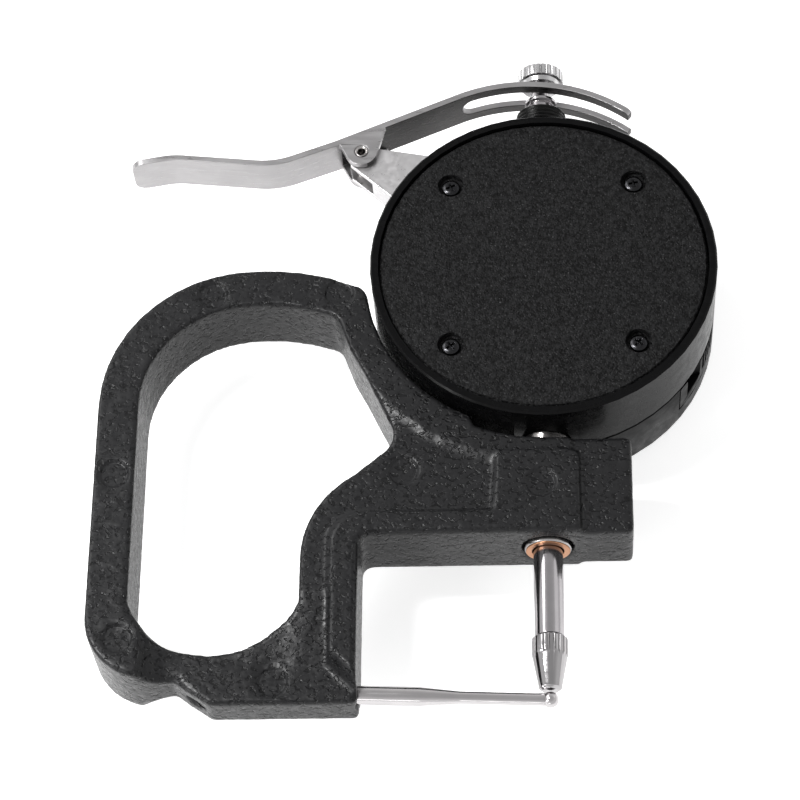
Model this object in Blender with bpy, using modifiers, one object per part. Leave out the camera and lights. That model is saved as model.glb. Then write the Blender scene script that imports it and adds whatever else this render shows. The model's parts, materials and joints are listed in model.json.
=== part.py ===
"""Digital thickness gauge for pipe and tube walls, lying on the face of its display.

+X runs from the handle loop to the display head, +Y along the spindle towards the lift cap,
+Z out of the back cover. The origin is the middle of the gauge's box, on the display rim's plane.
Every piece is placed from the datum on the head's own axis, where the spindle's line has x = 0.
"""

import math

import bmesh
import bpy
from mathutils import Matrix, Vector

# Clearances
SEAT_GAP = 0.0003
RUNNING_GAP = 0.0002
OVERRUN = 0.0010

# Display head
CASE_RADIUS = 0.0300
HEAD_HEIGHT = 0.0260
SEAM_BELOW_AXIS = 0.0023
CASE_WALL = 0.0030
CASE_EDGE = 0.0003
RIM_WIDTH = 0.0014
COVER_DROP = 0.0004
COVER_THICKNESS = 0.0020
FRONT_CHAMFER = 0.0020
FRONT_RIM_WIDTH = 0.0015
FACE_DROP = 0.0009
FACE_THICKNESS = 0.0016
LIP_WALL = 0.0010
LIP_DEPTH = 0.0025

# Screws that hold the cover, on a square
COVER_BOSS_RADIUS = 0.0048
COVER_BOSS_BITE = 0.00043
COVER_BOSS_HEIGHT = 0.0070
COVER_HOLE_RADIUS = 0.0023
COVER_HOLE_DEPTH = 0.0012
SCREW_HEAD_RADIUS = 0.0017
SCREW_HEAD_HEIGHT = 0.0010
SCREW_SHANK_RADIUS = 0.0009
SCREW_LENGTH = 0.0058
CROSS_LENGTH = 0.0020
CROSS_WIDTH = 0.0005
CROSS_DEPTH = 0.0005

# Window, glass and buttons on the face
WINDOW_SIDE = 0.0090
WINDOW_HEIGHT = 0.0170
WINDOW_RISE_SHARE = 0.183
WINDOW_CORNER = 0.0015
LENS_PROUD = 0.0003
LENS_FLANGE = 0.0015
LENS_FLANGE_THICKNESS = 0.0005
LCD_THICKNESS = 0.0011
BOARD_MARGIN = 0.0020
BOARD_THICKNESS = 0.0008
BUTTON_RADIUS = 0.0035
BUTTON_PITCH_SHARE = 0.433
BUTTON_DROP_SHARE = 0.45
BUTTON_PROUD = 0.0005
BUTTON_FLANGE = 0.0009
BUTTON_FLANGE_THICKNESS = 0.0005
BUTTON_STEM_RADIUS = 0.0012
BUTTON_TRAVEL = 0.0005
BUTTON_DISH = 0.0002

# Battery drawer in the side of the front shell
DRAWER_ANGLE = math.radians(-24)
DRAWER_WIDTH = 0.0150
DRAWER_INNER_WALL = 0.0022
DRAWER_FLOOR = 0.0006
CELL_RADIUS = 0.0058
CELL_HEADROOM = 0.0007
CELL_DEPTH = 0.0095
SCOOP_RADIUS = 0.0026
SCOOP_ANGLE = math.radians(-6)
SCOOP_DEPTH = 0.0018
GRIP_RADIUS = 0.0005
GRIP_STEP = math.radians(2.6)
GRIP_COUNT = 5
CONTACT_STRIP_WIDTH = 0.0040
CONTACT_STRIP_THICKNESS = 0.0003
CONTACT_STRIP_FOOT = 0.0040
CONTACT_STRIP_HEIGHT = 0.0045

# Spindle line
AXIS_DEPTH = 0.0077
SPINDLE_RADIUS = 0.0025
UPPER_ROD_RADIUS = 0.0022
UPPER_ROD_DEPTH = 0.0030
STEM_RADIUS = 0.0040
STEM_FLANGE_RADIUS = 0.0052
STEM_FLANGE_THICKNESS = 0.0014
STEM_PROUD = 0.0004
STEM_CHAMFER = 0.0002
BUSH_WALL = 0.0006
BUSH_LENGTH = 0.0120
UPPER_STEM_RADIUS = 0.0045
UPPER_STEM_LENGTH = 0.0067
UPPER_STEM_CAP = 0.0015
RIB_COUNT = 9
RIB_DEPTH = 0.00025

# Contact point and fixed anvil
CONTACT_RADIUS = 0.00305
CONTACT_KNURL_HEIGHT = 0.0033
CONTACT_LENGTH = 0.0093
CONTACT_TIP_RADIUS = 0.0019
CONTACT_FACE_RADIUS = 0.0013
CONTACT_FACE_HEIGHT = 0.0004
CONTACT_EDGE = 0.0003
CONTACT_STUD_RADIUS = 0.0012
CONTACT_STUD_LENGTH = 0.0040
KNURL_DEPTH = 0.00025
CONTACT_KNURL_COUNT = 21
ANVIL_RISE = 0.0020
ANVIL_ROOT_RADIUS = 0.00155
ANVIL_TIP_RADIUS = 0.00105
ANVIL_BALL_RADIUS = 0.00135
ANVIL_TAPER_START = 0.0213
ANVIL_TAPER_END = 0.0148
ANVIL_GRIP = 0.0120
KNOCK_OUT_RADIUS = 0.0010

# Lift cap over the lever's fork
COLLAR_RADIUS = 0.0029
COLLAR_RISE = 0.0090
COLLAR_THICKNESS = 0.0006
NECK_RADIUS = 0.0016
CAP_RADIUS = 0.0042
CAP_RISE = 0.0128
CAP_HEIGHT = 0.0032
CAP_SHOULDER = 0.0008
CAP_BORE_DEPTH = 0.0020
CAP_KNURL_COUNT = 26

# Slide, scale and reader inside the case
BLOCK_SPRING_GAP = 0.0025
BLOCK_LENGTH = 0.0110
BLOCK_REST = -0.0010
BLOCK_BELOW = 0.0036
WING_MARGIN = 0.0017
WING_LENGTH = 0.0050
GUIDE_BOSS_GAP = 0.0017
GUIDE_RADIUS = 0.0010
STRIP_WIDTH = 0.0080
STRIP_LENGTH = 0.0250
STRIP_THICKNESS = 0.0005
READER_LENGTH = 0.0380
READER_THICKNESS = 0.0008
SPRING_RADIUS = 0.0012
SPRING_WIRE = 0.00015
SPRING_TURNS = 12

# Cast frame, outline
HANDLE_REACH = 0.0465
HANDLE_BAND = 0.0070
HANDLE_CORNER = 0.0260
CORNER_RISE = 0.0054
CROWN_RADIUS = 0.0400
CROWN_JOIN = math.radians(97)
CRADLE_GAP = 0.0009
CRADLE_BAND = 0.0056
CRADLE_END = math.radians(212)
STEM_RELIEF = 0.0014
RELIEF_END = math.radians(248)
CORNER_ROUND = 0.0016
POCKET_SIDE = 0.0003
POCKET_FALL = 0.0010
POCKET_RADIUS = 0.0044
POCKET_START = math.radians(32)
POCKET_END = math.radians(-45)
WEB_MARGIN = 0.0051
SHOULDER_RADIUS = 0.0176
SHOULDER_FALL = 0.0038
SHOULDER_START = math.radians(120)
LOOP_FLOOR_RISE = 0.0177
LOOP_FLOOR_ENTRY = math.radians(20)
ARM_GAP = 0.0023
ARM_HEIGHT = 0.0177
ARM_END = 0.0143
ARM_CORNER = 0.0008
THROAT_DEPTH = 0.0315
THROAT_FILLET = 0.0018
THROAT_HEIGHT = 0.0293
FOOT_INSET = 0.0209
NOTCH_RUN = 0.0061
HEEL_RISE = 0.0041
HEEL_RADIUS = 0.0110

# Cast frame, thickness at each level
PANEL_THICKNESS = 0.0144
HANDLE_THICKNESS = 0.0137
WEB_THICKNESS = 0.0127
ARM_END_THICKNESS = 0.0121
FOOT_THICKNESS = 0.0074
FRAME_EDGE = 0.0007
PANEL_LEFT = 0.0088
PANEL_RIGHT = 0.0056
PANEL_INSET = 0.0025
BAND_HEIGHT = 0.0039
BAND_WIDTH = 0.0046
BAND_CORNER = 0.0055
BAND_FOOT_RISE = 0.0067
STEP_RUN = 0.0006
PANEL_CORNER = 0.0015
RISER_REACH = 0.0018
RISER_RUN = 0.0029
WEB_SLOPE_RISE = 0.0193
RAMP_INSET = 0.0101
RAMP_RUN = 0.0016
EJECTOR_RADIUS = 0.00275
EJECTOR_DEPTH = 0.00025
GRUB_RADIUS = 0.0016
GRUB_LENGTH = 0.0060
GRUB_SOCKET = 0.0008
GRUB_SOCKET_DEPTH = 0.0020

# Lever
LEVER_WIDTH = 0.0080
LEVER_THICKNESS = 0.00115
PIVOT_REACH = 0.0323
PIVOT_FALL = 0.0024
FORK_RADIUS = 0.0308
FORK_CENTRE_X = -0.0030
FORK_GAP = 0.0009
FORK_START = math.radians(113.3)
FORK_END = math.radians(51)
TINE_CORNER = 0.0009
SLOT_WIDTH = 0.0039
SLOT_START = -0.0142
ARM_LENGTH = 0.0240
PAD_DIP_X = -0.0480
PAD_DIP_FALL = 0.0017
PAD_CREST_X = -0.0665
PAD_CREST_RISE = 0.0003
PAD_TIP_X = -0.0740
PAD_TIP_FALL = 0.0010
PAD_BEND = 0.0140
PAD_CORNER = 0.0022
DISH_LENGTH = 0.0130
DISH_WIDTH = 0.0050
DISH_DEPTH = 0.0005
EAR_RADIUS = 0.0033
EAR_SPAN = 0.0090
PIN_RADIUS = 0.00105
PIN_BORE = 0.0006
PIN_HEAD_RADIUS = 0.0015
PIN_HEAD_HEIGHT = 0.00025

# Lever bracket
BRACKET_WIDTH = 0.0054
BRACKET_SHEET = 0.0009
BRACKET_END_RADIUS = 0.00245
BRACKET_LOWER_ANGLE = math.radians(-42.8)
BRACKET_LOWER_OFFSET = 0.0029
BRACKET_UPPER_ANGLE = math.radians(-11)
BRACKET_UPPER_OFFSET = 0.0018
BRACKET_WEB_END = 0.0052
BRACKET_SCREW_SPREAD = math.radians(10.5)
BRACKET_SCREW_HEAD = 0.0014
BRACKET_SCREW_HEAD_HEIGHT = 0.0007
BRACKET_SCREW_SHANK = 0.0008
BRACKET_SCREW_GRIP = 0.0024

# Facets
DRAWING_SCALE = 1000.0
ROUND_STEPS = 52
SMALL_ROUND_STEPS = 26
HOLE_STEPS = 18
KEY_STEPS = 20
ARC_STEP = math.radians(8.5)

# Worked out from the sizes above
CASE_BORE = CASE_RADIUS - CASE_WALL
WINDOW_WIDTH = 2 * (CASE_BORE - WINDOW_SIDE)
WINDOW_RISE = CASE_RADIUS * WINDOW_RISE_SHARE
BUTTON_PITCH = CASE_RADIUS * BUTTON_PITCH_SHARE
BUTTON_DROP = CASE_RADIUS * BUTTON_DROP_SHARE
BOARD_RADIUS = CASE_BORE - BOARD_MARGIN
COVER_SCREW_SQUARE = (CASE_BORE - COVER_BOSS_RADIUS + COVER_BOSS_BITE) * math.sqrt(2)
READER_WIDTH = COVER_SCREW_SQUARE - 2 * (COVER_BOSS_RADIUS + RUNNING_GAP)
GUIDE_OFFSET = COVER_SCREW_SQUARE / 2 - COVER_BOSS_RADIUS - GUIDE_BOSS_GAP
BLOCK_WIDTH = 2 * (GUIDE_OFFSET - BLOCK_SPRING_GAP)
WING_REACH = GUIDE_OFFSET + WING_MARGIN
CELL_CENTRE = CASE_RADIUS - CELL_DEPTH
DRAWER_INNER_END = CELL_CENTRE - CELL_RADIUS - DRAWER_INNER_WALL
COVER_RADIUS = CASE_RADIUS - RIM_WIDTH - SEAT_GAP
COVER_TOP = HEAD_HEIGHT - COVER_DROP
COVER_BASE = COVER_TOP - COVER_THICKNESS
POCKET_FLOOR = COVER_BASE - SEAT_GAP
AXIS_HEIGHT = POCKET_FLOOR - AXIS_DEPTH
SEAM_HEIGHT = AXIS_HEIGHT - SEAM_BELOW_AXIS
REAR_SHELL_BASE = SEAM_HEIGHT + SEAT_GAP / 2
FRONT_SHELL_TOP = SEAM_HEIGHT - SEAT_GAP / 2
LIP_TOP = AXIS_HEIGHT - SPRING_RADIUS - SPRING_WIRE - RUNNING_GAP
FACE_BACK = FACE_DROP + FACE_THICKNESS
LENS_BACK = FACE_BACK + SEAT_GAP + LENS_FLANGE_THICKNESS
LCD_FRONT = LENS_BACK + RUNNING_GAP
BOARD_FRONT = LCD_FRONT + LCD_THICKNESS + SEAT_GAP
BOARD_BACK = BOARD_FRONT + BOARD_THICKNESS
DRAWER_BASE = BOARD_BACK + SEAT_GAP
CELL_BASE = DRAWER_BASE + DRAWER_FLOOR + SEAT_GAP
DRAWER_TOP = SEAM_HEIGHT - CELL_HEADROOM
CELL_HEIGHT = DRAWER_TOP - SEAT_GAP - CELL_BASE
READER_BASE = POCKET_FLOOR - SEAT_GAP - READER_THICKNESS
STRIP_BASE = READER_BASE - SEAT_GAP - STRIP_THICKNESS - AXIS_HEIGHT
BLOCK_ABOVE = STRIP_BASE - RUNNING_GAP
CRADLE_RADIUS = CASE_RADIUS + CRADLE_GAP
LOOP_ARC_RADIUS = CRADLE_RADIUS + CRADLE_BAND
ARM_TOP_DROP = CASE_RADIUS + ARM_GAP
ARM_UNDERSIDE_DROP = ARM_TOP_DROP + ARM_HEIGHT
PANEL_DROP = ARM_TOP_DROP + PANEL_INSET
FOOT_DROP = ARM_UNDERSIDE_DROP + THROAT_HEIGHT
HEEL_DROP = FOOT_DROP - HEEL_RISE
ANVIL_DROP = FOOT_DROP - ANVIL_RISE
BAND_FOOT_DROP = FOOT_DROP - BAND_FOOT_RISE
WEB_SLOPE_DROP = FOOT_DROP - WEB_SLOPE_RISE
LOOP_FLOOR_DROP = FOOT_DROP - LOOP_FLOOR_RISE
SHOULDER_DROP = ARM_UNDERSIDE_DROP + SHOULDER_FALL
CORNER_DROP = CASE_RADIUS - CORNER_RISE
POCKET_DROP = CASE_RADIUS + POCKET_FALL
POCKET_REACH = CASE_RADIUS + POCKET_SIDE
FRAME_LEFT = CASE_RADIUS + HANDLE_REACH
FOOT_LEFT = FRAME_LEFT - FOOT_INSET
RAMP_LEFT = FRAME_LEFT - RAMP_INSET
WEB_LEFT = THROAT_DEPTH + BAND_WIDTH + WEB_MARGIN
ARM_CENTRE_DROP = (ARM_TOP_DROP + ARM_UNDERSIDE_DROP) / 2
STEM_END = -ARM_UNDERSIDE_DROP - STEM_PROUD
STEM_BORE = SPINDLE_RADIUS + RUNNING_GAP + BUSH_WALL + RUNNING_GAP
ANVIL_TOP = ANVIL_BALL_RADIUS - ANVIL_DROP
CONTACT_BASE = ANVIL_TOP + RUNNING_GAP
CONTACT_TOP = CONTACT_BASE + CONTACT_LENGTH
UPPER_ROD_START = CASE_BORE - UPPER_ROD_DEPTH
UPPER_STEM_TOP = CASE_RADIUS + UPPER_STEM_LENGTH
COLLAR_BASE = CASE_RADIUS + COLLAR_RISE
COLLAR_TOP = COLLAR_BASE + COLLAR_THICKNESS
CAP_BASE = CASE_RADIUS + CAP_RISE
CAP_TOP = CAP_BASE + CAP_HEIGHT
FORK_CENTRE_Y = CAP_BASE - FORK_GAP - FORK_RADIUS
PIVOT_RISE = CASE_RADIUS - PIVOT_FALL
PAD_DIP_Y = PIVOT_RISE - PAD_DIP_FALL
PAD_CREST_Y = PIVOT_RISE + PAD_CREST_RISE
PAD_TIP_Y = PIVOT_RISE - PAD_TIP_FALL
DATUM_X = (FRAME_LEFT - CASE_RADIUS) / 2
DATUM_Y = (FOOT_DROP - CAP_TOP) / 2
PIVOT = Vector((-PIVOT_REACH, PIVOT_RISE, AXIS_HEIGHT))

PARTS = bpy.data.collections.new("thickness_gauge")
CUTTERS = bpy.data.collections.new("cutters")


# Scene and objects


def clear_scene():
    for thing in list(bpy.data.objects):
        bpy.data.objects.remove(thing, do_unlink=True)
    for collection in (PARTS, CUTTERS):
        bpy.context.scene.collection.children.link(collection)
    CUTTERS.hide_render = True


def finish(name, colour, roughness, metallic=0.0):
    made = bpy.data.materials.new(name)
    made.use_nodes = True
    shader = made.node_tree.nodes["Principled BSDF"]
    shader.inputs["Base Color"].default_value = (*colour, 1.0)
    shader.inputs["Roughness"].default_value = roughness
    shader.inputs["Metallic"].default_value = metallic
    return made


def empty(name, place, parent=None, turn=0.0):
    marker = bpy.data.objects.new(name, None)
    marker.location = place
    marker.rotation_euler.z = turn
    marker.parent = parent
    PARTS.objects.link(marker)
    return marker


def place(mesh, name, parent, material=None, cutter=False):
    """An object for a mesh, as a named piece or as a hidden cutter."""
    piece = bpy.data.objects.new(name, mesh)
    piece.parent = parent
    if cutter:
        CUTTERS.objects.link(piece)
        piece.hide_render = True
        piece.display_type = "WIRE"
        return piece
    PARTS.objects.link(piece)
    mesh.materials.clear()
    mesh.materials.append(material)
    mesh.shade_smooth()
    mesh.set_sharp_from_angle(angle=math.radians(35))
    return piece


def combine(piece, other, operation="DIFFERENCE"):
    step = piece.modifiers.new(other.name, "BOOLEAN")
    step.operation = operation
    step.solver = "EXACT"
    step.object = other


def mesh_of(shape, name):
    mesh = bpy.data.meshes.new(name)
    shape.to_mesh(mesh)
    shape.free()
    return mesh


# Points and outlines


def arc(centre, radius, start, end):
    """Points on a circle from one angle to another, both ends included."""
    count = max(2, math.ceil(abs(end - start) / ARC_STEP))
    angles = [start + (end - start) * i / count for i in range(count + 1)]
    return [(centre[0] + radius * math.cos(a), centre[1] + radius * math.sin(a)) for a in angles]


def circles_meet(first, first_radius, second, second_radius):
    """The two points where circles cross, the one to the left of the line between centres first."""
    gap = Vector(second) - Vector(first)
    along = (first_radius**2 - second_radius**2 + gap.length_squared) / (2 * gap.length)
    across = math.sqrt(max(0.0, first_radius**2 - along**2))
    middle = Vector(first) + gap.normalized() * along
    side = gap.normalized().orthogonal() * across
    return middle + side, middle - side


def angle_at(centre, point):
    return math.atan2(point[1] - centre[1], point[0] - centre[0])


def rounded(corners, steps=5):
    """An outline through (x, y, radius) corners, each turned by an arc of its radius."""
    points = []
    count = len(corners)
    for i, (x, y, radius) in enumerate(corners):
        if radius <= 0:
            points.append((x, y))
            continue
        here = Vector((x, y))
        back = (Vector(corners[i - 1][:2]) - here).normalized()
        ahead = (Vector(corners[(i + 1) % count][:2]) - here).normalized()
        half = back.angle(ahead) / 2
        reach = radius / math.tan(half)
        centre = here + (back + ahead).normalized() * (radius / math.sin(half))
        first = here + back * reach - centre
        turn = first.angle_signed(here + ahead * reach - centre)
        for k in range(steps + 1):
            spoke = Matrix.Rotation(-turn * k / steps, 2) @ first
            points.append(tuple(centre + spoke))
    return points


def smooth_corner(before, corner, after, steps=4):
    """A short curve that leaves one point, bends towards the corner and ends at the other."""
    points = []
    for k in range(1, steps):
        t = k / steps
        spot = (1 - t) ** 2 * Vector(before) + 2 * t * (1 - t) * Vector(corner) + t**2 * Vector(after)
        points.append(tuple(spot))
    return points


def rectangle(width, height, centre=(0.0, 0.0), corner=0.0):
    x, y = width / 2, height / 2
    signs = ((1, 1), (-1, 1), (-1, -1), (1, -1))
    return rounded([(centre[0] + i * x, centre[1] + j * y, corner) for i, j in signs], 3)


def slab(name, outlines, low, high, parent, material=None, edge=0.0, cutter=False, origin=(0, 0)):
    """A flat outline, with any holes, given thickness along Z and, if asked, rounded edges."""
    curve = bpy.data.curves.new(name, "CURVE")
    curve.dimensions = "2D"
    curve.fill_mode = "BOTH"
    enlarge = DRAWING_SCALE
    curve.extrude = ((high - low) / 2 - edge) * enlarge
    curve.bevel_depth = edge * enlarge
    curve.bevel_resolution = 1
    curve.offset = -edge * enlarge
    for outline in outlines:
        spline = curve.splines.new("POLY")
        spline.points.add(len(outline) - 1)
        for point, (x, y) in zip(spline.points, outline):
            point.co = ((x - origin[0]) * enlarge, (y - origin[1]) * enlarge, 0, 1)
        spline.use_cyclic_u = True
    maker = bpy.data.objects.new(name + "_outline", curve)
    bpy.context.scene.collection.objects.link(maker)
    graph = bpy.context.evaluated_depsgraph_get()
    mesh = bpy.data.meshes.new_from_object(maker.evaluated_get(graph))
    bpy.data.objects.remove(maker, do_unlink=True)
    mesh.transform(Matrix.Translation((0, 0, (low + high) / 2)) @ Matrix.Scale(1 / enlarge, 4))
    shape = bmesh.new()
    shape.from_mesh(mesh)
    bmesh.ops.remove_doubles(shape, verts=shape.verts, dist=SEAT_GAP / 100)
    bmesh.ops.recalc_face_normals(shape, faces=shape.faces)
    shape.to_mesh(mesh)
    shape.free()
    return place(mesh, name, parent, material, cutter)


AIM = {
    "Z": Matrix.Identity(4),
    "Y": Matrix.Rotation(math.radians(-90), 4, "X"),
    "X": Matrix.Rotation(math.radians(90), 4, "Y"),
}


def turned(name, profile, centre, parent, material=None, aim="Z", steps=ROUND_STEPS, cutter=False):
    """A profile of (radius, height) points, run down its outer side, turned about an axis."""
    closed = profile[0][0] > 0
    shape = bmesh.new()
    points = [shape.verts.new((r, 0, h)) for r, h in profile]
    pairs = list(zip(points, points[1:]))
    if closed:
        pairs.append((points[-1], points[0]))
    for pair in pairs:
        shape.edges.new(pair)
    piece = place(mesh_of(shape, name), name, parent, material, cutter)
    half_facet = Matrix.Rotation(math.pi / steps, 4, "Z")
    piece.matrix_local = Matrix.Translation(centre) @ AIM[aim] @ half_facet
    spin = piece.modifiers.new("turn", "SCREW")
    spin.axis = "Z"
    spin.angle = 2 * math.pi
    spin.steps = steps
    spin.render_steps = steps
    spin.use_merge_vertices = True
    spin.merge_threshold = SEAT_GAP / 100
    spin.use_smooth_shade = True
    return piece


def drill(name, radius, start, end, parent, steps=HOLE_STEPS):
    """A round cutter between two points."""
    start, end = Vector(start), Vector(end)
    shape = bmesh.new()
    bmesh.ops.create_cone(shape, cap_ends=True, segments=steps, radius1=radius, radius2=radius,
                          depth=(end - start).length)
    turn = (end - start).to_track_quat("Z", "Y").to_matrix().to_4x4()
    bmesh.ops.transform(shape, matrix=Matrix.Translation((start + end) / 2) @ turn, verts=shape.verts)
    return place(mesh_of(shape, name), name, parent, cutter=True)


def drills(name, radius, runs, parent, steps=HOLE_STEPS):
    """Round cutters that stand clear of each other, in one object."""
    shape = bmesh.new()
    for start, end in runs:
        start, end = Vector(start), Vector(end)
        turn = (end - start).to_track_quat("Z", "Y").to_matrix().to_4x4()
        bmesh.ops.create_cone(shape, cap_ends=True, segments=steps, radius1=radius, radius2=radius,
                              depth=(end - start).length,
                              matrix=Matrix.Translation((start + end) / 2) @ turn)
    return place(mesh_of(shape, name), name, parent, cutter=True)


def block(name, low, high, parent, material=None, cutter=False):
    """A box between two corners."""
    low, high = Vector(low), Vector(high)
    shape = bmesh.new()
    size = Matrix.Diagonal((*(high - low), 1))
    bmesh.ops.create_cube(shape, size=1, matrix=Matrix.Translation((low + high) / 2) @ size)
    return place(mesh_of(shape, name), name, parent, material, cutter)


def hex_key(name, across, start, end, parent):
    """A six-sided cutter for a key's socket."""
    return drill(name, across, start, end, parent, steps=6)


def grown(outline, distances):
    """The outline with each side moved outwards by its own distance. Side i leaves point i."""
    points = [Vector(p) for p in outline]
    moved = []
    for i, here in enumerate(points):
        back = (here - points[i - 1]).normalized()
        ahead = (points[(i + 1) % len(points)] - here).normalized()
        first, second = Vector((back.y, -back.x)), Vector((ahead.y, -ahead.x))
        turn = first.x * second.y - first.y * second.x
        near, far = distances[i - 1], distances[i]
        if abs(turn) < math.sin(ARC_STEP / 4):
            moved.append(here + first * (near + far) / 2)
            continue
        x = (near * second.y - far * first.y) / turn
        y = (far * first.x - near * second.x) / turn
        moved.append(here + Vector((x, y)))
    return moved


def level_cutter(name, outline, floor, side, runs, parent):
    """Takes the frame down to one level on one face, with sloped sides.

    The outline runs anticlockwise. Side is 1 for the back face and -1 for the display side.
    """
    if isinstance(runs, float):
        runs = [runs] * len(outline)
    depth = PANEL_THICKNESS / 2 - floor
    height = depth + SEAT_GAP
    distances = [run * height / depth for run in runs]
    shape = bmesh.new()
    low = [shape.verts.new((x, y, side * floor)) for x, y in outline]
    high = [shape.verts.new((p.x, p.y, side * (floor + height))) for p in grown(outline, distances)]
    shape.faces.new(low)
    shape.faces.new(high)
    for i in range(len(low)):
        shape.faces.new((low[i - 1], low[i], high[i], high[i - 1]))
    bmesh.ops.recalc_face_normals(shape, faces=shape.faces)
    cutter = place(mesh_of(shape, name), name, parent, cutter=True)
    cutter.location.z = AXIS_HEIGHT
    return cutter


def slope_cutter(name, x_range, y_range, floors, side, parent):
    """Takes the frame down to a floor that slopes along Y from the first depth to the second."""
    top = PANEL_THICKNESS
    shape = bmesh.new()
    bmesh.ops.create_cube(shape, size=1)
    for vert in shape.verts:
        x, y, z = vert.co
        level = floors[y > 0] if z < 0 else top
        vert.co = (x_range[x > 0], y_range[y > 0], side * level)
    shape.normal_update()
    bmesh.ops.recalc_face_normals(shape, faces=shape.faces)
    cutter = place(mesh_of(shape, name), name, parent, cutter=True)
    cutter.location.z = AXIS_HEIGHT
    return cutter


# Cast frame


def corner_centre():
    return (HANDLE_CORNER - FRAME_LEFT, -CORNER_DROP)


def crown_centre():
    """The crown's arc leaves the handle's corner arc without a kink."""
    x, y = corner_centre()
    reach = HANDLE_CORNER - CROWN_RADIUS
    return (x + reach * math.cos(CROWN_JOIN), y + reach * math.sin(CROWN_JOIN))


def frame_outline():
    """The outside of the frame, anticlockwise from the arm's free end."""
    crown = crown_centre()
    meet = circles_meet(crown, CROWN_RADIUS, (0, 0), CRADLE_RADIUS)
    tip = max(meet, key=lambda p: p.y)
    crown_end = angle_at(crown, tip) + CORNER_ROUND / CROWN_RADIUS
    cradle_top = angle_at((0, 0), tip) % (2 * math.pi) + CORNER_ROUND / CRADLE_RADIUS
    cradle = arc((0, 0), CRADLE_RADIUS, cradle_top, RELIEF_END - STEM_RELIEF / CRADLE_RADIUS)
    crown_run = arc(crown, CROWN_RADIUS, crown_end, CROWN_JOIN)
    heel = (HEEL_RADIUS - FRAME_LEFT, HEEL_RADIUS - HEEL_DROP)
    free_end = rounded([
        (ARM_END, -ARM_CENTRE_DROP, 0),
        (ARM_END, -ARM_TOP_DROP, ARM_CORNER),
        (0, -ARM_TOP_DROP, 0),
    ], 3)
    arm = rounded([
        (-THROAT_DEPTH - HANDLE_BAND, -FOOT_DROP, 0),
        (-THROAT_DEPTH, -FOOT_DROP, ARM_CORNER),
        (-THROAT_DEPTH, -ARM_UNDERSIDE_DROP, THROAT_FILLET),
        (ARM_END, -ARM_UNDERSIDE_DROP, ARM_CORNER),
        (ARM_END, -ARM_CENTRE_DROP, 0),
    ], 3)
    points = free_end[1:-1]
    points += arc((0, 0), ARM_TOP_DROP, math.radians(270), RELIEF_END)
    points += cradle[::-1]
    points += smooth_corner(cradle[0], tuple(tip), crown_run[0])
    points += crown_run
    points += arc(corner_centre(), HANDLE_CORNER, CROWN_JOIN, math.pi)[1:]
    points += arc(heel, HEEL_RADIUS, math.pi, 1.5 * math.pi)
    points += rounded([
        (heel[0], -HEEL_DROP, 0),
        (-FOOT_LEFT - NOTCH_RUN, -HEEL_DROP, ARM_CORNER),
        (-FOOT_LEFT, -FOOT_DROP, ARM_CORNER),
        (-THROAT_DEPTH - HANDLE_BAND, -FOOT_DROP, 0),
    ], 3)[1:-1]
    points += arm
    return points


def loop_outline():
    """The finger opening of the handle, anticlockwise from its left wall."""
    left = HANDLE_BAND - FRAME_LEFT
    crown = crown_centre()
    inner_crown = CROWN_RADIUS - HANDLE_BAND
    meet = circles_meet(crown, inner_crown, (0, 0), LOOP_ARC_RADIUS)
    tip = max(meet, key=lambda p: p.y)
    crown_run = arc(crown, inner_crown, CROWN_JOIN, angle_at(crown, tip) + CORNER_ROUND / inner_crown)
    cradle_top = angle_at((0, 0), tip) % (2 * math.pi) + CORNER_ROUND / LOOP_ARC_RADIUS
    cradle = arc((0, 0), LOOP_ARC_RADIUS, cradle_top, CRADLE_END)
    half = (-WEB_LEFT - left) / 2
    floor_radius = half / math.cos(LOOP_FLOOR_ENTRY)
    floor_centre = (left + half, floor_radius * math.sin(LOOP_FLOOR_ENTRY) - LOOP_FLOOR_DROP)
    points = arc(corner_centre(), HANDLE_CORNER - HANDLE_BAND, math.pi, CROWN_JOIN)
    points += crown_run[1:]
    points += smooth_corner(crown_run[-1], tuple(tip), cradle[0])
    points += cradle
    points += arc((-POCKET_REACH, -POCKET_DROP), POCKET_RADIUS, POCKET_START, POCKET_END)
    points += arc((SHOULDER_RADIUS - WEB_LEFT, -SHOULDER_DROP), SHOULDER_RADIUS, SHOULDER_START, math.pi)
    points += arc(floor_centre, floor_radius, -LOOP_FLOOR_ENTRY, LOOP_FLOOR_ENTRY - math.pi)
    return points


def band_edge(inset):
    """The step beside the panel and the throat band, from the panel's top edge to the foot."""
    line_top = inset - ARM_UNDERSIDE_DROP + BAND_HEIGHT
    line_left = -THROAT_DEPTH - BAND_WIDTH - inset
    return rounded([
        (PANEL_RIGHT, inset - PANEL_DROP, 0),
        (-PANEL_LEFT - inset, inset - PANEL_DROP, PANEL_CORNER),
        (-PANEL_LEFT - inset, line_top, FRAME_EDGE),
        (line_left, line_top, BAND_CORNER),
        (line_left, -BAND_FOOT_DROP, 0),
        (line_left, -FOOT_DROP - FOOT_THICKNESS, 0),
    ], 4)


def handle_level():
    """Everything above the panel and left of the throat band."""
    reach = FRAME_LEFT + FOOT_THICKNESS
    return [
        *band_edge(0.0)[::-1],
        (PANEL_RIGHT, HANDLE_CORNER),
        (-reach, HANDLE_CORNER),
        (-reach, -FOOT_DROP - FOOT_THICKNESS),
    ]


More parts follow.
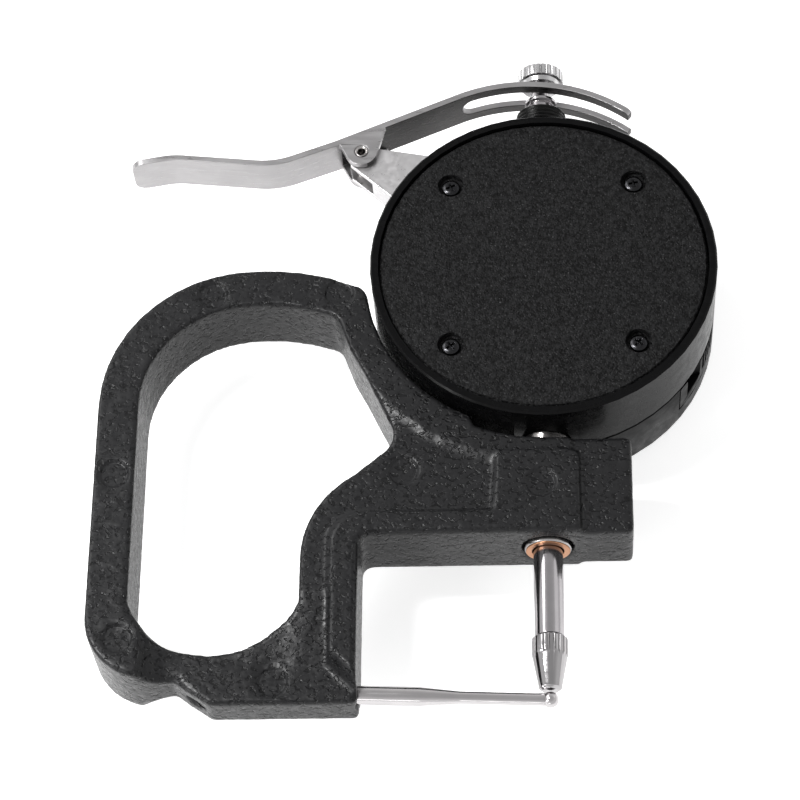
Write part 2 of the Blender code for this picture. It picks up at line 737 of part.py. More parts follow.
def web_level():
    """The sunk field between the cradle's riser, the band and the loop, with each side's run."""
    riser = arc((0, 0), LOOP_ARC_RADIUS + RISER_REACH, CRADLE_END, math.radians(256.5))[::-1]
    edge = [p for p in band_edge(STEP_RUN)[::-1] if p[1] < riser[0][1]]
    rest = [
        (-WEB_LEFT - 2 * POCKET_RADIUS, riser[-1][1]),
        (-WEB_LEFT - 2 * POCKET_RADIUS, -FOOT_DROP - FOOT_THICKNESS),
    ]
    runs = [STEP_RUN] * len(edge) + [RISER_RUN] * (len(riser) - 1) + [STEP_RUN] * (len(rest) + 1)
    return edge + riser + rest, runs


def foot_level():
    """The thin foot below the loop, and the slanted end of the throat band."""
    low = -FOOT_DROP - FOOT_THICKNESS
    left = -THROAT_DEPTH - BAND_WIDTH
    end = (-THROAT_DEPTH, -FOOT_DROP + ANVIL_ROOT_RADIUS)
    lean = (end[0] - left) / (end[1] + BAND_FOOT_DROP)
    inside = -FOOT_LEFT
    return [
        (-RAMP_LEFT, low),
        (left + lean * (low + BAND_FOOT_DROP), low),
        (left, -BAND_FOOT_DROP),
        (inside, -BAND_FOOT_DROP),
        (inside, -LOOP_FLOOR_DROP),
        (-RAMP_LEFT, -LOOP_FLOOR_DROP),
    ]


def arm_end_level():
    """The free end of the arm, beyond the panel's right-hand edge and its rounded corner."""
    low = -ARM_UNDERSIDE_DROP - FOOT_THICKNESS
    high = -ARM_TOP_DROP + FOOT_THICKNESS
    right = ARM_END + FOOT_THICKNESS
    corner = PANEL_CORNER
    turn = arc((PANEL_RIGHT - corner, -PANEL_DROP - corner), corner, math.pi / 2, 0)
    return [(PANEL_RIGHT, low), (right, low), (right, high), (PANEL_RIGHT - corner, high), *turn]


def ejector_spots():
    """Where the casting's ejector pins left their marks, with the level each stands on."""
    left = -FRAME_LEFT + HANDLE_BAND / 2
    arm_y = -ARM_CENTRE_DROP
    return (
        (left, -POCKET_DROP - HANDLE_BAND, HANDLE_THICKNESS),
        (left + HANDLE_BAND / 3, -HEEL_DROP + HANDLE_BAND, HANDLE_THICKNESS),
        (-WEB_LEFT - POCKET_RADIUS, -FOOT_DROP + BAND_HEIGHT, FOOT_THICKNESS),
        (-PANEL_LEFT * 2.75, -POCKET_DROP - HANDLE_BAND, WEB_THICKNESS),
        (-SEAT_GAP * 3, arm_y, PANEL_THICKNESS),
        (-CRADLE_RADIUS - BAND_WIDTH, -HANDLE_BAND / 2, HANDLE_THICKNESS),
        (corner_centre()[0] - HANDLE_BAND, -HANDLE_BAND / 2, HANDLE_THICKNESS),
    )


def ejector_cutter(parent):
    runs = []
    for x, y, thickness in ejector_spots():
        for side in (1, -1):
            floor = AXIS_HEIGHT + side * (thickness / 2 - EJECTOR_DEPTH)
            runs.append(((x, y, floor), (x, y, AXIS_HEIGHT + side * PANEL_THICKNESS)))
    return drills("ejector_marks", EJECTOR_RADIUS, runs, parent)


def build_frame(datum, paint):
    half = PANEL_THICKNESS / 2
    frame = slab("frame", [frame_outline(), loop_outline()], AXIS_HEIGHT - half, AXIS_HEIGHT + half,
                 datum, paint, FRAME_EDGE)
    web, web_runs = web_level()
    levels = (
        ("handle", handle_level(), HANDLE_THICKNESS, STEP_RUN / 3),
        ("web", web, WEB_THICKNESS, web_runs),
        ("foot", foot_level(), FOOT_THICKNESS, RAMP_RUN),
        ("arm_end", arm_end_level(), ARM_END_THICKNESS, STEP_RUN / 3),
    )
    slope_x = (-FOOT_LEFT, -THROAT_DEPTH - BAND_WIDTH)
    slope_y = (-BAND_FOOT_DROP, -WEB_SLOPE_DROP)
    slope_floors = (FOOT_THICKNESS / 2, WEB_THICKNESS / 2)
    for side, word in ((1, "back"), (-1, "display")):
        for name, outline, thickness, runs in levels:
            combine(frame, level_cutter(f"{name}_level_{word}", outline, thickness / 2, side, runs, datum))
        combine(frame, slope_cutter(f"web_slope_{word}", slope_x, slope_y, slope_floors, side, datum))
    combine(frame, ejector_cutter(datum))
    bores = (
        ("stem_bore", STEM_RADIUS + SEAT_GAP, (0, OVERRUN - ARM_TOP_DROP),
         (0, -ARM_UNDERSIDE_DROP - OVERRUN)),
        ("anvil_bore", ANVIL_ROOT_RADIUS + RUNNING_GAP, (OVERRUN - THROAT_DEPTH, -ANVIL_DROP),
         (-THROAT_DEPTH - ANVIL_GRIP - SEAT_GAP, -ANVIL_DROP)),
        ("knock_out_hole", KNOCK_OUT_RADIUS, (-THROAT_DEPTH - ANVIL_GRIP, -ANVIL_DROP),
         (-FOOT_LEFT - NOTCH_RUN, -ANVIL_DROP)),
        ("grub_hole", GRUB_RADIUS + RUNNING_GAP, (0, -ARM_CENTRE_DROP),
         (ARM_END + OVERRUN, -ARM_CENTRE_DROP)),
    )
    for name, radius, start, end in bores:
        steps = SMALL_ROUND_STEPS if radius > ANVIL_ROOT_RADIUS * 2 else HOLE_STEPS
        combine(frame, drill(name, radius, (*start, AXIS_HEIGHT), (*end, AXIS_HEIGHT), datum, steps))


def build_anvil(datum, steel):
    """The fixed pin: a thick root, a taper, a thin neck and a ball on the end."""
    root, tip, ball = ANVIL_ROOT_RADIUS, ANVIL_TIP_RADIUS, ANVIL_BALL_RADIUS
    start = math.pi - math.asin(tip / ball)
    profile = [(ball * math.sin(a), ball * math.cos(a)) for a in
               [start * k / 8 for k in range(9)]]
    profile += [
        (tip, -ANVIL_TAPER_END),
        (root, -ANVIL_TAPER_START),
        (root, -THROAT_DEPTH - ANVIL_GRIP + CONTACT_EDGE),
        (root - CONTACT_EDGE, -THROAT_DEPTH - ANVIL_GRIP),
        (0, -THROAT_DEPTH - ANVIL_GRIP),
    ]
    profile[0] = (0, ball)
    turned("anvil_pin", profile, (0, -ANVIL_DROP, AXIS_HEIGHT), datum, steel, "X", HOLE_STEPS)


def build_grub_screw(datum, steel):
    inner = STEM_RADIUS + SEAT_GAP
    outer = inner + GRUB_LENGTH
    r = GRUB_RADIUS
    profile = [(0, outer), (r - CONTACT_EDGE, outer), (r, outer - CONTACT_EDGE),
               (r, inner + CONTACT_EDGE), (r - CONTACT_EDGE, inner), (0, inner)]
    centre = (0, -ARM_CENTRE_DROP, AXIS_HEIGHT)
    screw = turned("stem_grub_screw", profile, centre, datum, steel, "X", HOLE_STEPS)
    y = -ARM_CENTRE_DROP
    combine(screw, hex_key("grub_socket", GRUB_SOCKET, (outer - GRUB_SOCKET_DEPTH, y, AXIS_HEIGHT),
                           (outer + OVERRUN, y, AXIS_HEIGHT), datum))


# Stems, spindle and contact


def build_stem(datum, steel, bronze):
    """The lower stem joins the head to the frame and carries the bush that guides the spindle."""
    flange_top = STEM_FLANGE_THICKNESS + SEAT_GAP - CASE_BORE
    bore = SPINDLE_RADIUS + SEAT_GAP
    bush_top = STEM_END + BUSH_LENGTH
    profile = [
        (STEM_FLANGE_RADIUS, flange_top),
        (STEM_FLANGE_RADIUS, flange_top - STEM_FLANGE_THICKNESS),
        (STEM_RADIUS, flange_top - STEM_FLANGE_THICKNESS),
        (STEM_RADIUS, STEM_END + STEM_CHAMFER),
        (STEM_RADIUS - STEM_CHAMFER, STEM_END),
        (STEM_BORE, STEM_END),
        (STEM_BORE, bush_top + RUNNING_GAP),
        (bore, bush_top + RUNNING_GAP),
        (bore, flange_top),
    ]
    centre = (0, 0, AXIS_HEIGHT)
    turned("stem", profile, centre, datum, steel, "Y", SMALL_ROUND_STEPS)
    outer = STEM_BORE - RUNNING_GAP
    inner = outer - BUSH_WALL
    low = STEM_END + RUNNING_GAP
    bush = [(outer, bush_top), (outer, low), (inner + STEM_CHAMFER, low), (inner, low + STEM_CHAMFER),
            (inner, bush_top)]
    turned("stem_bush", bush, centre, datum, bronze, "Y", SMALL_ROUND_STEPS)


def build_upper_stem(datum, black):
    """The ribbed sleeve on top of the case, with a guide for the thin end of the spindle."""
    base = CASE_BORE - SEAT_GAP - STEM_FLANGE_THICKNESS
    shoulder = base + STEM_FLANGE_THICKNESS
    outer, top = UPPER_STEM_RADIUS, UPPER_STEM_TOP
    rib_start = CASE_RADIUS + RIB_DEPTH
    pitch = (top - rib_start) / RIB_COUNT
    profile = []
    for i in range(RIB_COUNT):
        height = top - i * pitch
        profile += [(outer - RIB_DEPTH, height), (outer, height - pitch * 0.35),
                    (outer, height - pitch * 0.65)]
    bore = SPINDLE_RADIUS + SEAT_GAP
    guide = UPPER_ROD_RADIUS + RUNNING_GAP
    profile += [
        (outer - RIB_DEPTH, rib_start),
        (outer - RIB_DEPTH, shoulder),
        (STEM_FLANGE_RADIUS, shoulder),
        (STEM_FLANGE_RADIUS, base),
        (bore, base),
        (bore, top - UPPER_STEM_CAP),
        (guide, top - UPPER_STEM_CAP),
        (guide, top),
    ]
    turned("upper_stem", profile, (0, 0, AXIS_HEIGHT), datum, black, "Y", SMALL_ROUND_STEPS)


def build_spindle(rail, steel):
    """One rod: threaded stud, measuring spindle, thin upper end, collar and neck for the cap."""
    top = CAP_BASE + CAP_BORE_DEPTH - SEAT_GAP
    low = CONTACT_TOP + RUNNING_GAP
    profile = [
        (0, top),
        (NECK_RADIUS, top),
        (NECK_RADIUS, COLLAR_TOP),
        (COLLAR_RADIUS, COLLAR_TOP),
        (COLLAR_RADIUS, COLLAR_BASE),
        (UPPER_ROD_RADIUS, COLLAR_BASE),
        (UPPER_ROD_RADIUS, UPPER_ROD_START),
        (SPINDLE_RADIUS, UPPER_ROD_START - CONTACT_EDGE),
        (SPINDLE_RADIUS, low),
        (CONTACT_STUD_RADIUS, low),
        (CONTACT_STUD_RADIUS, low - CONTACT_STUD_LENGTH),
        (0, low - CONTACT_STUD_LENGTH),
    ]
    turned("spindle", profile, (0, 0, 0), rail, steel, "Y", SMALL_ROUND_STEPS)


def build_contact_point(rail, steel):
    """The screwed-on point: a knurled collar, a cone and a small hard face."""
    r = CONTACT_RADIUS
    knurl_base = CONTACT_TOP - CONTACT_KNURL_HEIGHT
    smooth = r - KNURL_DEPTH / 2
    bore = CONTACT_STUD_RADIUS + RUNNING_GAP
    bore_end = CONTACT_TOP - CONTACT_STUD_LENGTH - SEAT_GAP
    tip = CONTACT_BASE + CONTACT_FACE_HEIGHT
    profile = [
        (bore, CONTACT_TOP),
        (r - CONTACT_EDGE, CONTACT_TOP),
        (r, CONTACT_TOP - CONTACT_EDGE),
        (r, knurl_base + CONTACT_EDGE),
        (smooth, knurl_base),
        (CONTACT_TIP_RADIUS, tip + CONTACT_EDGE),
        (CONTACT_TIP_RADIUS - CONTACT_EDGE, tip),
        (CONTACT_FACE_RADIUS, tip),
        (CONTACT_FACE_RADIUS, CONTACT_BASE),
        (0, CONTACT_BASE),
    ]
    outer = [(0, CONTACT_TOP)] + profile[1:]
    contact = turned("contact_point", outer, (0, 0, 0), rail, steel, "Y", CONTACT_KNURL_COUNT * 2)
    grooves = []
    for i in range(CONTACT_KNURL_COUNT):
        a = 2 * math.pi * i / CONTACT_KNURL_COUNT
        x, z = (r + KNURL_DEPTH) * math.cos(a), (r + KNURL_DEPTH) * math.sin(a)
        grooves.append(((x, knurl_base + KNURL_DEPTH, z), (x, CONTACT_TOP + OVERRUN, z)))
    combine(contact, drills("contact_knurl", KNURL_DEPTH * 2, grooves, rail, 6))
    combine(contact, drill("contact_bore", bore, (0, bore_end, 0), (0, CONTACT_TOP + OVERRUN, 0), rail))


def build_lift_cap(rail, chrome):
    """The knurled cap that the fork lifts."""
    r = CAP_RADIUS
    profile = [
        (0, CAP_TOP),
        (r - CAP_SHOULDER / 2, CAP_TOP),
        (r, CAP_TOP - CAP_SHOULDER / 2),
        (r, CAP_BASE + CAP_SHOULDER),
        (r - CAP_SHOULDER, CAP_BASE),
        (0, CAP_BASE),
    ]
    cap = turned("lift_cap", profile, (0, 0, 0), rail, chrome, "Y", CAP_KNURL_COUNT * 2)
    grooves = []
    for i in range(CAP_KNURL_COUNT):
        a = 2 * math.pi * i / CAP_KNURL_COUNT
        x, z = (r + KNURL_DEPTH) * math.cos(a), (r + KNURL_DEPTH) * math.sin(a)
        grooves.append(((x, CAP_BASE - OVERRUN, z), (x, CAP_TOP + OVERRUN, z)))
    combine(cap, drills("cap_knurl", KNURL_DEPTH * 2, grooves, rail, 6))
    combine(cap, drill("cap_bore", NECK_RADIUS + RUNNING_GAP, (0, CAP_BASE - OVERRUN, 0),
                       (0, CAP_BASE + CAP_BORE_DEPTH, 0), rail))


# Slide and reader


def build_slide(rail, datum, brass, board, steel):
    """The block on the spindle with its scale, and what it runs on and is read by."""
    low_y = BLOCK_REST - BLOCK_LENGTH / 2
    high_y = BLOCK_REST + BLOCK_LENGTH / 2
    carrier = block("slider_block", (-BLOCK_WIDTH / 2, low_y, -BLOCK_BELOW),
                    (BLOCK_WIDTH / 2, high_y, BLOCK_ABOVE), rail, brass)
    wing = block("slider_wing", (-WING_REACH, BLOCK_REST - WING_LENGTH / 2, -BLOCK_BELOW * 0.6),
                 (WING_REACH, BLOCK_REST + WING_LENGTH / 2, BLOCK_ABOVE * 0.6), rail, cutter=True)
    combine(carrier, wing, "UNION")
    combine(carrier, drill("slider_bore", SPINDLE_RADIUS + RUNNING_GAP, (0, low_y - OVERRUN, 0),
                           (0, high_y + OVERRUN, 0), rail, SMALL_ROUND_STEPS))
    slot = GUIDE_RADIUS + RUNNING_GAP
    combine(carrier, block("guide_slot", (-WING_REACH - OVERRUN, low_y, -slot),
                           (slot - GUIDE_OFFSET, high_y, slot), rail, cutter=True))
    block("scale_strip", (-STRIP_WIDTH / 2, BLOCK_REST - STRIP_LENGTH / 2, STRIP_BASE),
          (STRIP_WIDTH / 2, BLOCK_REST + STRIP_LENGTH / 2, STRIP_BASE + STRIP_THICKNESS), rail, board)
    block("reader_board", (-READER_WIDTH / 2, -READER_LENGTH / 2, READER_BASE),
          (READER_WIDTH / 2, READER_LENGTH / 2, READER_BASE + READER_THICKNESS), datum, board)
    reach = math.sqrt(CASE_BORE**2 - (GUIDE_OFFSET + GUIDE_RADIUS) ** 2) - SEAT_GAP
    rod = [(0, reach), (GUIDE_RADIUS, reach), (GUIDE_RADIUS, -reach), (0, -reach)]
    turned("guide_rod", rod, (-GUIDE_OFFSET, 0, AXIS_HEIGHT), datum, steel, "Y", HOLE_STEPS)


def build_return_spring(datum, steel):
    """A light coil beside the spindle, from the case's wall to the slide's wing."""
    low = SEAT_GAP + SPRING_WIRE - math.sqrt(CASE_BORE**2 - (GUIDE_OFFSET + SPRING_RADIUS) ** 2)
    high = BLOCK_REST - WING_LENGTH / 2 - SEAT_GAP - SPRING_WIRE
    per_turn = 7
    count = SPRING_TURNS * per_turn
    curve = bpy.data.curves.new("return_spring", "CURVE")
    curve.dimensions = "3D"
    curve.bevel_depth = SPRING_WIRE
    curve.bevel_resolution = 1
    curve.use_fill_caps = True
    line = curve.splines.new("POLY")
    line.points.add(count)
    for i, point in enumerate(line.points):
        angle = 2 * math.pi * i / per_turn
        height = low + (high - low) * i / count
        point.co = (SPRING_RADIUS * math.cos(angle), height, SPRING_RADIUS * math.sin(angle), 1)
    spring = bpy.data.objects.new("return_spring", curve)
    spring.parent = datum
    spring.location = (GUIDE_OFFSET, 0, AXIS_HEIGHT)
    curve.materials.append(steel)
    PARTS.objects.link(spring)
    print("return_spring: least gap between turns", round((high - low) / SPRING_TURNS - 2 * SPRING_WIRE, 5))


# Case


def boss_places():
    half = COVER_SCREW_SQUARE / 2
    return [(i * half, j * half) for i, j in ((1, 1), (-1, 1), (-1, -1), (1, -1))]


def stem_cutters(datum):
    """Stepped openings in the case's wall: each takes a stem and seats its flange inside."""
    cutters = []
    openings = (("stem_opening", STEM_RADIUS, -1), ("upper_stem_opening", UPPER_STEM_RADIUS, 1))
    for name, radius, aim in openings:
        wide, narrow = STEM_FLANGE_RADIUS + SEAT_GAP, radius + SEAT_GAP
        inside, outside = CASE_BORE - 3 * STEM_FLANGE_THICKNESS, CASE_RADIUS + OVERRUN
        profile = [(0, inside), (wide, inside), (wide, CASE_BORE), (narrow, CASE_BORE), (narrow, outside),
                   (0, outside)]
        profile = [(r, h * aim) for r, h in profile]
        if aim > 0:
            profile.reverse()
        cutters.append(turned(name, profile, (0, 0, AXIS_HEIGHT), datum, aim="Y", steps=SMALL_ROUND_STEPS,
                              cutter=True))
    return cutters


def build_rear_shell(datum, black, openings):
    """The back half of the case: rim, pocket for the cover and four screw bosses."""
    r, top = CASE_RADIUS, HEAD_HEIGHT
    pocket = r - RIM_WIDTH
    profile = [
        (r - CASE_EDGE, top),
        (r, top - CASE_EDGE),
        (r, REAR_SHELL_BASE + CASE_EDGE / 2),
        (r - CASE_EDGE / 2, REAR_SHELL_BASE),
        (CASE_BORE, REAR_SHELL_BASE),
        (CASE_BORE, POCKET_FLOOR),
        (pocket, POCKET_FLOOR),
        (pocket, top),
    ]
    shell = turned("rear_shell", profile, (0, 0, 0), datum, black, "Z", ROUND_STEPS)
    boss_low = POCKET_FLOOR - COVER_BOSS_HEIGHT
    boss_high = POCKET_FLOOR - RUNNING_GAP
    runs = [((x, y, boss_low), (x, y, boss_high)) for x, y in boss_places()]
    combine(shell, drills("cover_bosses", COVER_BOSS_RADIUS, runs, datum), "UNION")
    pilot = SCREW_SHANK_RADIUS + RUNNING_GAP
    holes = [((x, y, boss_low + OVERRUN), (x, y, boss_high + OVERRUN)) for x, y in boss_places()]
    combine(shell, drills("cover_pilots", pilot, holes, datum, 12))
    for cutter in openings:
        combine(shell, cutter)
    for name, angle in bracket_screw_angles():
        aim = Vector((math.cos(angle), math.sin(angle), 0))
        start = aim * (CASE_BORE - OVERRUN) + Vector((0, 0, AXIS_HEIGHT))
        end = aim * (CASE_RADIUS + OVERRUN) + Vector((0, 0, AXIS_HEIGHT))
        combine(shell, drill(name + "_pilot", BRACKET_SCREW_SHANK + RUNNING_GAP, start, end, datum, 12))


def build_cover(datum, black, steel):
    """The back cover and the four cross-head screws sunk in it."""
    r = COVER_RADIUS
    profile = [(0, COVER_TOP), (r - CASE_EDGE, COVER_TOP), (r, COVER_TOP - CASE_EDGE), (r, COVER_BASE),
               (0, COVER_BASE)]
    cover = turned("back_cover", profile, (0, 0, 0), datum, black, "Z", ROUND_STEPS)
    seat = COVER_TOP - COVER_HOLE_DEPTH
    sunk = [((x, y, seat), (x, y, COVER_TOP + OVERRUN)) for x, y in boss_places()]
    combine(cover, drills("cover_screw_seats", COVER_HOLE_RADIUS, sunk, datum, 24))
    through = [((x, y, COVER_BASE - OVERRUN), (x, y, COVER_TOP)) for x, y in boss_places()]
    combine(cover, drills("cover_screw_holes", SCREW_SHANK_RADIUS + RUNNING_GAP, through, datum, 12))
    for i, (x, y) in enumerate(boss_places(), 1):
        build_cover_screw(f"cover_screw_{i}", (x, y, seat + RUNNING_GAP), datum, steel)


def build_cover_screw(name, seat, datum, steel):
    head, shank, rise = SCREW_HEAD_RADIUS, SCREW_SHANK_RADIUS, SCREW_HEAD_HEIGHT
    profile = [(0, rise), (head * 0.55, rise), (head * 0.9, rise * 0.75), (head, rise * 0.35), (head, 0),
               (shank, 0), (shank, rise * 0.5 - SCREW_LENGTH), (0, -SCREW_LENGTH)]
    screw = turned(name, profile, seat, datum, steel, "Z", HOLE_STEPS)
    long, wide = CROSS_LENGTH / 2, CROSS_WIDTH / 2
    for word, x, y in (("across", long, wide), ("along", wide, long)):
        low, high = (-x, -y, rise - CROSS_DEPTH), (x, y, rise + OVERRUN)
        bar = block(f"{name}_slot_{word}", low, high, datum, cutter=True)
        bar.location = seat
        combine(screw, bar)


def build_front_shell(datum, black, openings, drawer_way):
    """The display half of the case: a cup with a lip that enters the rear shell."""
    r, wall = CASE_RADIUS, CASE_BORE
    lip_outer = wall - SEAT_GAP
    lip_inner = lip_outer - LIP_WALL
    chamfer_inner = r - FRONT_CHAMFER
    rim_inner = chamfer_inner - FRONT_RIM_WIDTH
    side_bore = r - CASE_WALL * 0.8
    profile = [
        (0, FACE_BACK),
        (0, FACE_DROP),
        (rim_inner, FACE_DROP),
        (rim_inner, 0),
        (chamfer_inner, 0),
        (r - FRONT_CHAMFER * 0.3, FRONT_CHAMFER * 0.45),
        (r, FRONT_CHAMFER * 1.2),
        (r, FRONT_SHELL_TOP - CASE_EDGE / 2),
        (r - CASE_EDGE / 2, FRONT_SHELL_TOP),
        (lip_outer, FRONT_SHELL_TOP),
        (lip_outer, LIP_TOP),
        (lip_inner, LIP_TOP),
        (lip_inner, FRONT_SHELL_TOP - LIP_DEPTH),
        (side_bore, FRONT_SHELL_TOP - LIP_DEPTH - LIP_WALL),
        (side_bore, FACE_BACK),
    ]
    shell = turned("front_shell", profile[::-1], (0, 0, 0), datum, black, "Z", ROUND_STEPS)
    window = rectangle(WINDOW_WIDTH, WINDOW_HEIGHT, (0, WINDOW_RISE), WINDOW_CORNER)
    combine(shell, slab("window_opening", [window], -OVERRUN, FACE_BACK + OVERRUN, datum, cutter=True))
    holes = [((x, -BUTTON_DROP, -OVERRUN), (x, -BUTTON_DROP, FACE_BACK + OVERRUN)) for x in button_places()]
    combine(shell, drills("button_openings", BUTTON_RADIUS + SEAT_GAP, holes, datum, 22))
    for cutter in (*openings, drawer_way):
        combine(shell, cutter)


# Face


def button_places():
    return (-BUTTON_PITCH, 0.0, BUTTON_PITCH)


def build_face(datum, clear, glass, board):
    """Window glass, liquid crystal panel and circuit board, in the order they stack."""
    gap = SEAT_GAP
    middle = (0, WINDOW_RISE)
    pane = rectangle(WINDOW_WIDTH - 2 * gap, WINDOW_HEIGHT - 2 * gap, middle, WINDOW_CORNER)
    lens = slab("display_lens", [pane], FACE_DROP - LENS_PROUD, LENS_BACK - LENS_FLANGE_THICKNESS / 2, datum,
                clear)
    wide = (WINDOW_WIDTH + 2 * LENS_FLANGE, WINDOW_HEIGHT + 2 * LENS_FLANGE)
    flange = slab("lens_flange", [rectangle(*wide, middle, WINDOW_CORNER)], FACE_BACK + gap, LENS_BACK, datum,
                  cutter=True)
    combine(lens, flange, "UNION")
    slab("lcd_panel", [rectangle(*wide, middle, 0.0)], LCD_FRONT, LCD_FRONT + LCD_THICKNESS, datum, glass)
    outline = arc((0, 0), BOARD_RADIUS, 0, 2 * math.pi)[:-1]
    slab("circuit_board", [outline], BOARD_FRONT, BOARD_BACK, datum, board)


def build_button(name, x, datum, rubber):
    """One key on its own centre line: a dished top, a flange behind the face and a stem."""
    top = FACE_DROP - BUTTON_PROUD
    flange = FACE_BACK + SEAT_GAP
    end = BOARD_FRONT - BUTTON_TRAVEL - RUNNING_GAP
    edge = CASE_EDGE
    r = BUTTON_RADIUS
    profile = [
        (0, end),
        (BUTTON_STEM_RADIUS, end),
        (BUTTON_STEM_RADIUS, flange + BUTTON_FLANGE_THICKNESS),
        (r + BUTTON_FLANGE, flange + BUTTON_FLANGE_THICKNESS),
        (r + BUTTON_FLANGE, flange),
        (r, flange),
        (r, top + edge),
        (r - edge, top),
        (r * 0.7, top),
        (r * 0.35, top + BUTTON_DISH * 0.8),
        (0, top + BUTTON_DISH),
    ]
    guide = empty(name + "_travel", (x, -BUTTON_DROP, 0), datum)
    turned(name, profile, (0, 0, 0), guide, rubber, "Z", KEY_STEPS)


# Battery drawer


def build_drawer(slide, black, metal):
    """The tray for the button cell, its face flush with the case, with a scoop and grip ribs."""
    half = DRAWER_WIDTH / 2
    tray = block("battery_drawer", (DRAWER_INNER_END, -half, DRAWER_BASE),
                 (CASE_RADIUS * 1.2, half, DRAWER_TOP), slide, black)
    flush = turned("drawer_face_round", [(0, DRAWER_TOP + OVERRUN), (CASE_RADIUS, DRAWER_TOP + OVERRUN),
                                         (CASE_RADIUS, DRAWER_BASE - OVERRUN), (0, DRAWER_BASE - OVERRUN)],
                   (0, 0, 0), slide, cutter=True, steps=ROUND_STEPS)
    combine(tray, flush, "INTERSECT")
    pocket = CELL_RADIUS + SEAT_GAP
    combine(tray, drill("cell_pocket", pocket, (CELL_CENTRE, 0, CELL_BASE - SEAT_GAP),
                        (CELL_CENTRE, 0, DRAWER_TOP + OVERRUN), slide, 36))
    scoop_reach = CASE_RADIUS + SCOOP_RADIUS - SCOOP_DEPTH
    x, y = scoop_reach * math.cos(SCOOP_ANGLE), scoop_reach * math.sin(SCOOP_ANGLE)
    combine(tray, drill("drawer_scoop", SCOOP_RADIUS, (x, y, DRAWER_BASE + SCOOP_DEPTH),
                        (x, y, DRAWER_TOP + OVERRUN), slide, KEY_STEPS))
    runs = []
    for i in range(GRIP_COUNT):
        a = GRIP_STEP * (i + 0.5)
        x, y = CASE_RADIUS * math.cos(a), CASE_RADIUS * math.sin(a)
        runs.append(((x, y, DRAWER_BASE + SCOOP_DEPTH), (x, y, DRAWER_TOP + OVERRUN)))
    combine(tray, drills("drawer_grips", GRIP_RADIUS, runs, slide, 10))
    edge = CASE_EDGE
    cell_top = CELL_BASE + CELL_HEIGHT
    cell = [(0, cell_top), (CELL_RADIUS * 0.86, cell_top), (CELL_RADIUS * 0.86, cell_top - edge),
            (CELL_RADIUS - edge, cell_top - edge), (CELL_RADIUS, cell_top - 2 * edge),
            (CELL_RADIUS, CELL_BASE + edge), (CELL_RADIUS - edge, CELL_BASE), (0, CELL_BASE)]
    turned("button_cell", cell, (CELL_CENTRE, 0, 0), slide, metal, "Z", SMALL_ROUND_STEPS)


def drawer_cutter(slide):
    half = DRAWER_WIDTH / 2 + SEAT_GAP
    low = (DRAWER_INNER_END - SEAT_GAP, -half, DRAWER_BASE - SEAT_GAP)
    high = (CASE_RADIUS * 1.2, half, LIP_TOP + OVERRUN)
    return block("drawer_way", low, high, slide, cutter=True)


def build_contact_strip(line, metal):
    """The sprung strip on the board that meets the cell's tray."""
    high = DRAWER_INNER_END - SEAT_GAP
    thick = CONTACT_STRIP_THICKNESS
    half = CONTACT_STRIP_WIDTH / 2
    strip = block("battery_contact", (high - thick, -half, DRAWER_BASE),
                  (high, half, DRAWER_BASE + CONTACT_STRIP_HEIGHT), line, metal)
    foot = block("contact_foot", (high - CONTACT_STRIP_FOOT, -half, DRAWER_BASE),
                 (high - thick / 2, half, DRAWER_BASE + thick), line, cutter=True)
    combine(strip, foot, "UNION")


# Lever and bracket


def lever_side():
    """The lever's upper surface, from the fork's tips to the thumb pad, in the plane of motion."""
    fork = arc((FORK_CENTRE_X, FORK_CENTRE_Y), FORK_RADIUS, FORK_END, FORK_START)
    joint = Vector(fork[-1])
    slope = Vector((-math.sin(FORK_START), math.cos(FORK_START)))
    bend = joint + slope * ARM_LENGTH
    pad = rounded([
        (*fork[-1], 0),
        (bend.x, bend.y, PAD_BEND * 2),
        (PAD_DIP_X, PAD_DIP_Y, PAD_BEND),
        (PAD_CREST_X, PAD_CREST_Y, PAD_BEND),
        (PAD_TIP_X, PAD_TIP_Y, 0),
    ], 4)
    return fork[:-1] + pad


def sheet_along(path, thickness):
    """An outline of even thickness whose upper side is the path, which runs right to left."""
    points = [Vector(p) for p in path]
    under = []
    for i, here in enumerate(points):
        back = points[max(i - 1, 0)]
        ahead = points[min(i + 1, len(points) - 1)]
        run = (ahead - back).normalized()
        under.append(tuple(here + Vector((-run.y, run.x)) * thickness))
    return [tuple(p) for p in points] + under[::-1]


def ear_outline():
    """One ear of the clevis: from the plate's top down round the pin."""
    fork_joint = Vector(lever_side()[len(arc((0, 0), 1, FORK_END, FORK_START)) - 1])
    slope = Vector((-math.sin(FORK_START), math.cos(FORK_START)))
    pivot = PIVOT.to_2d()
    along = (pivot - fork_joint).dot(slope)
    foot = fork_joint + slope * along
    inset = Vector((slope.y, -slope.x)) * -LEVER_THICKNESS * 0.15
    right = foot - slope * EAR_SPAN / 2 + inset
    left = foot + slope * EAR_SPAN / 2 + inset
    start = angle_at(pivot, left) % (2 * math.pi) + math.radians(48)
    end = angle_at(pivot, right) % (2 * math.pi) + 2 * math.pi - math.radians(48)
    return [tuple(right), tuple(left), *arc(pivot, EAR_RADIUS, start, end)]


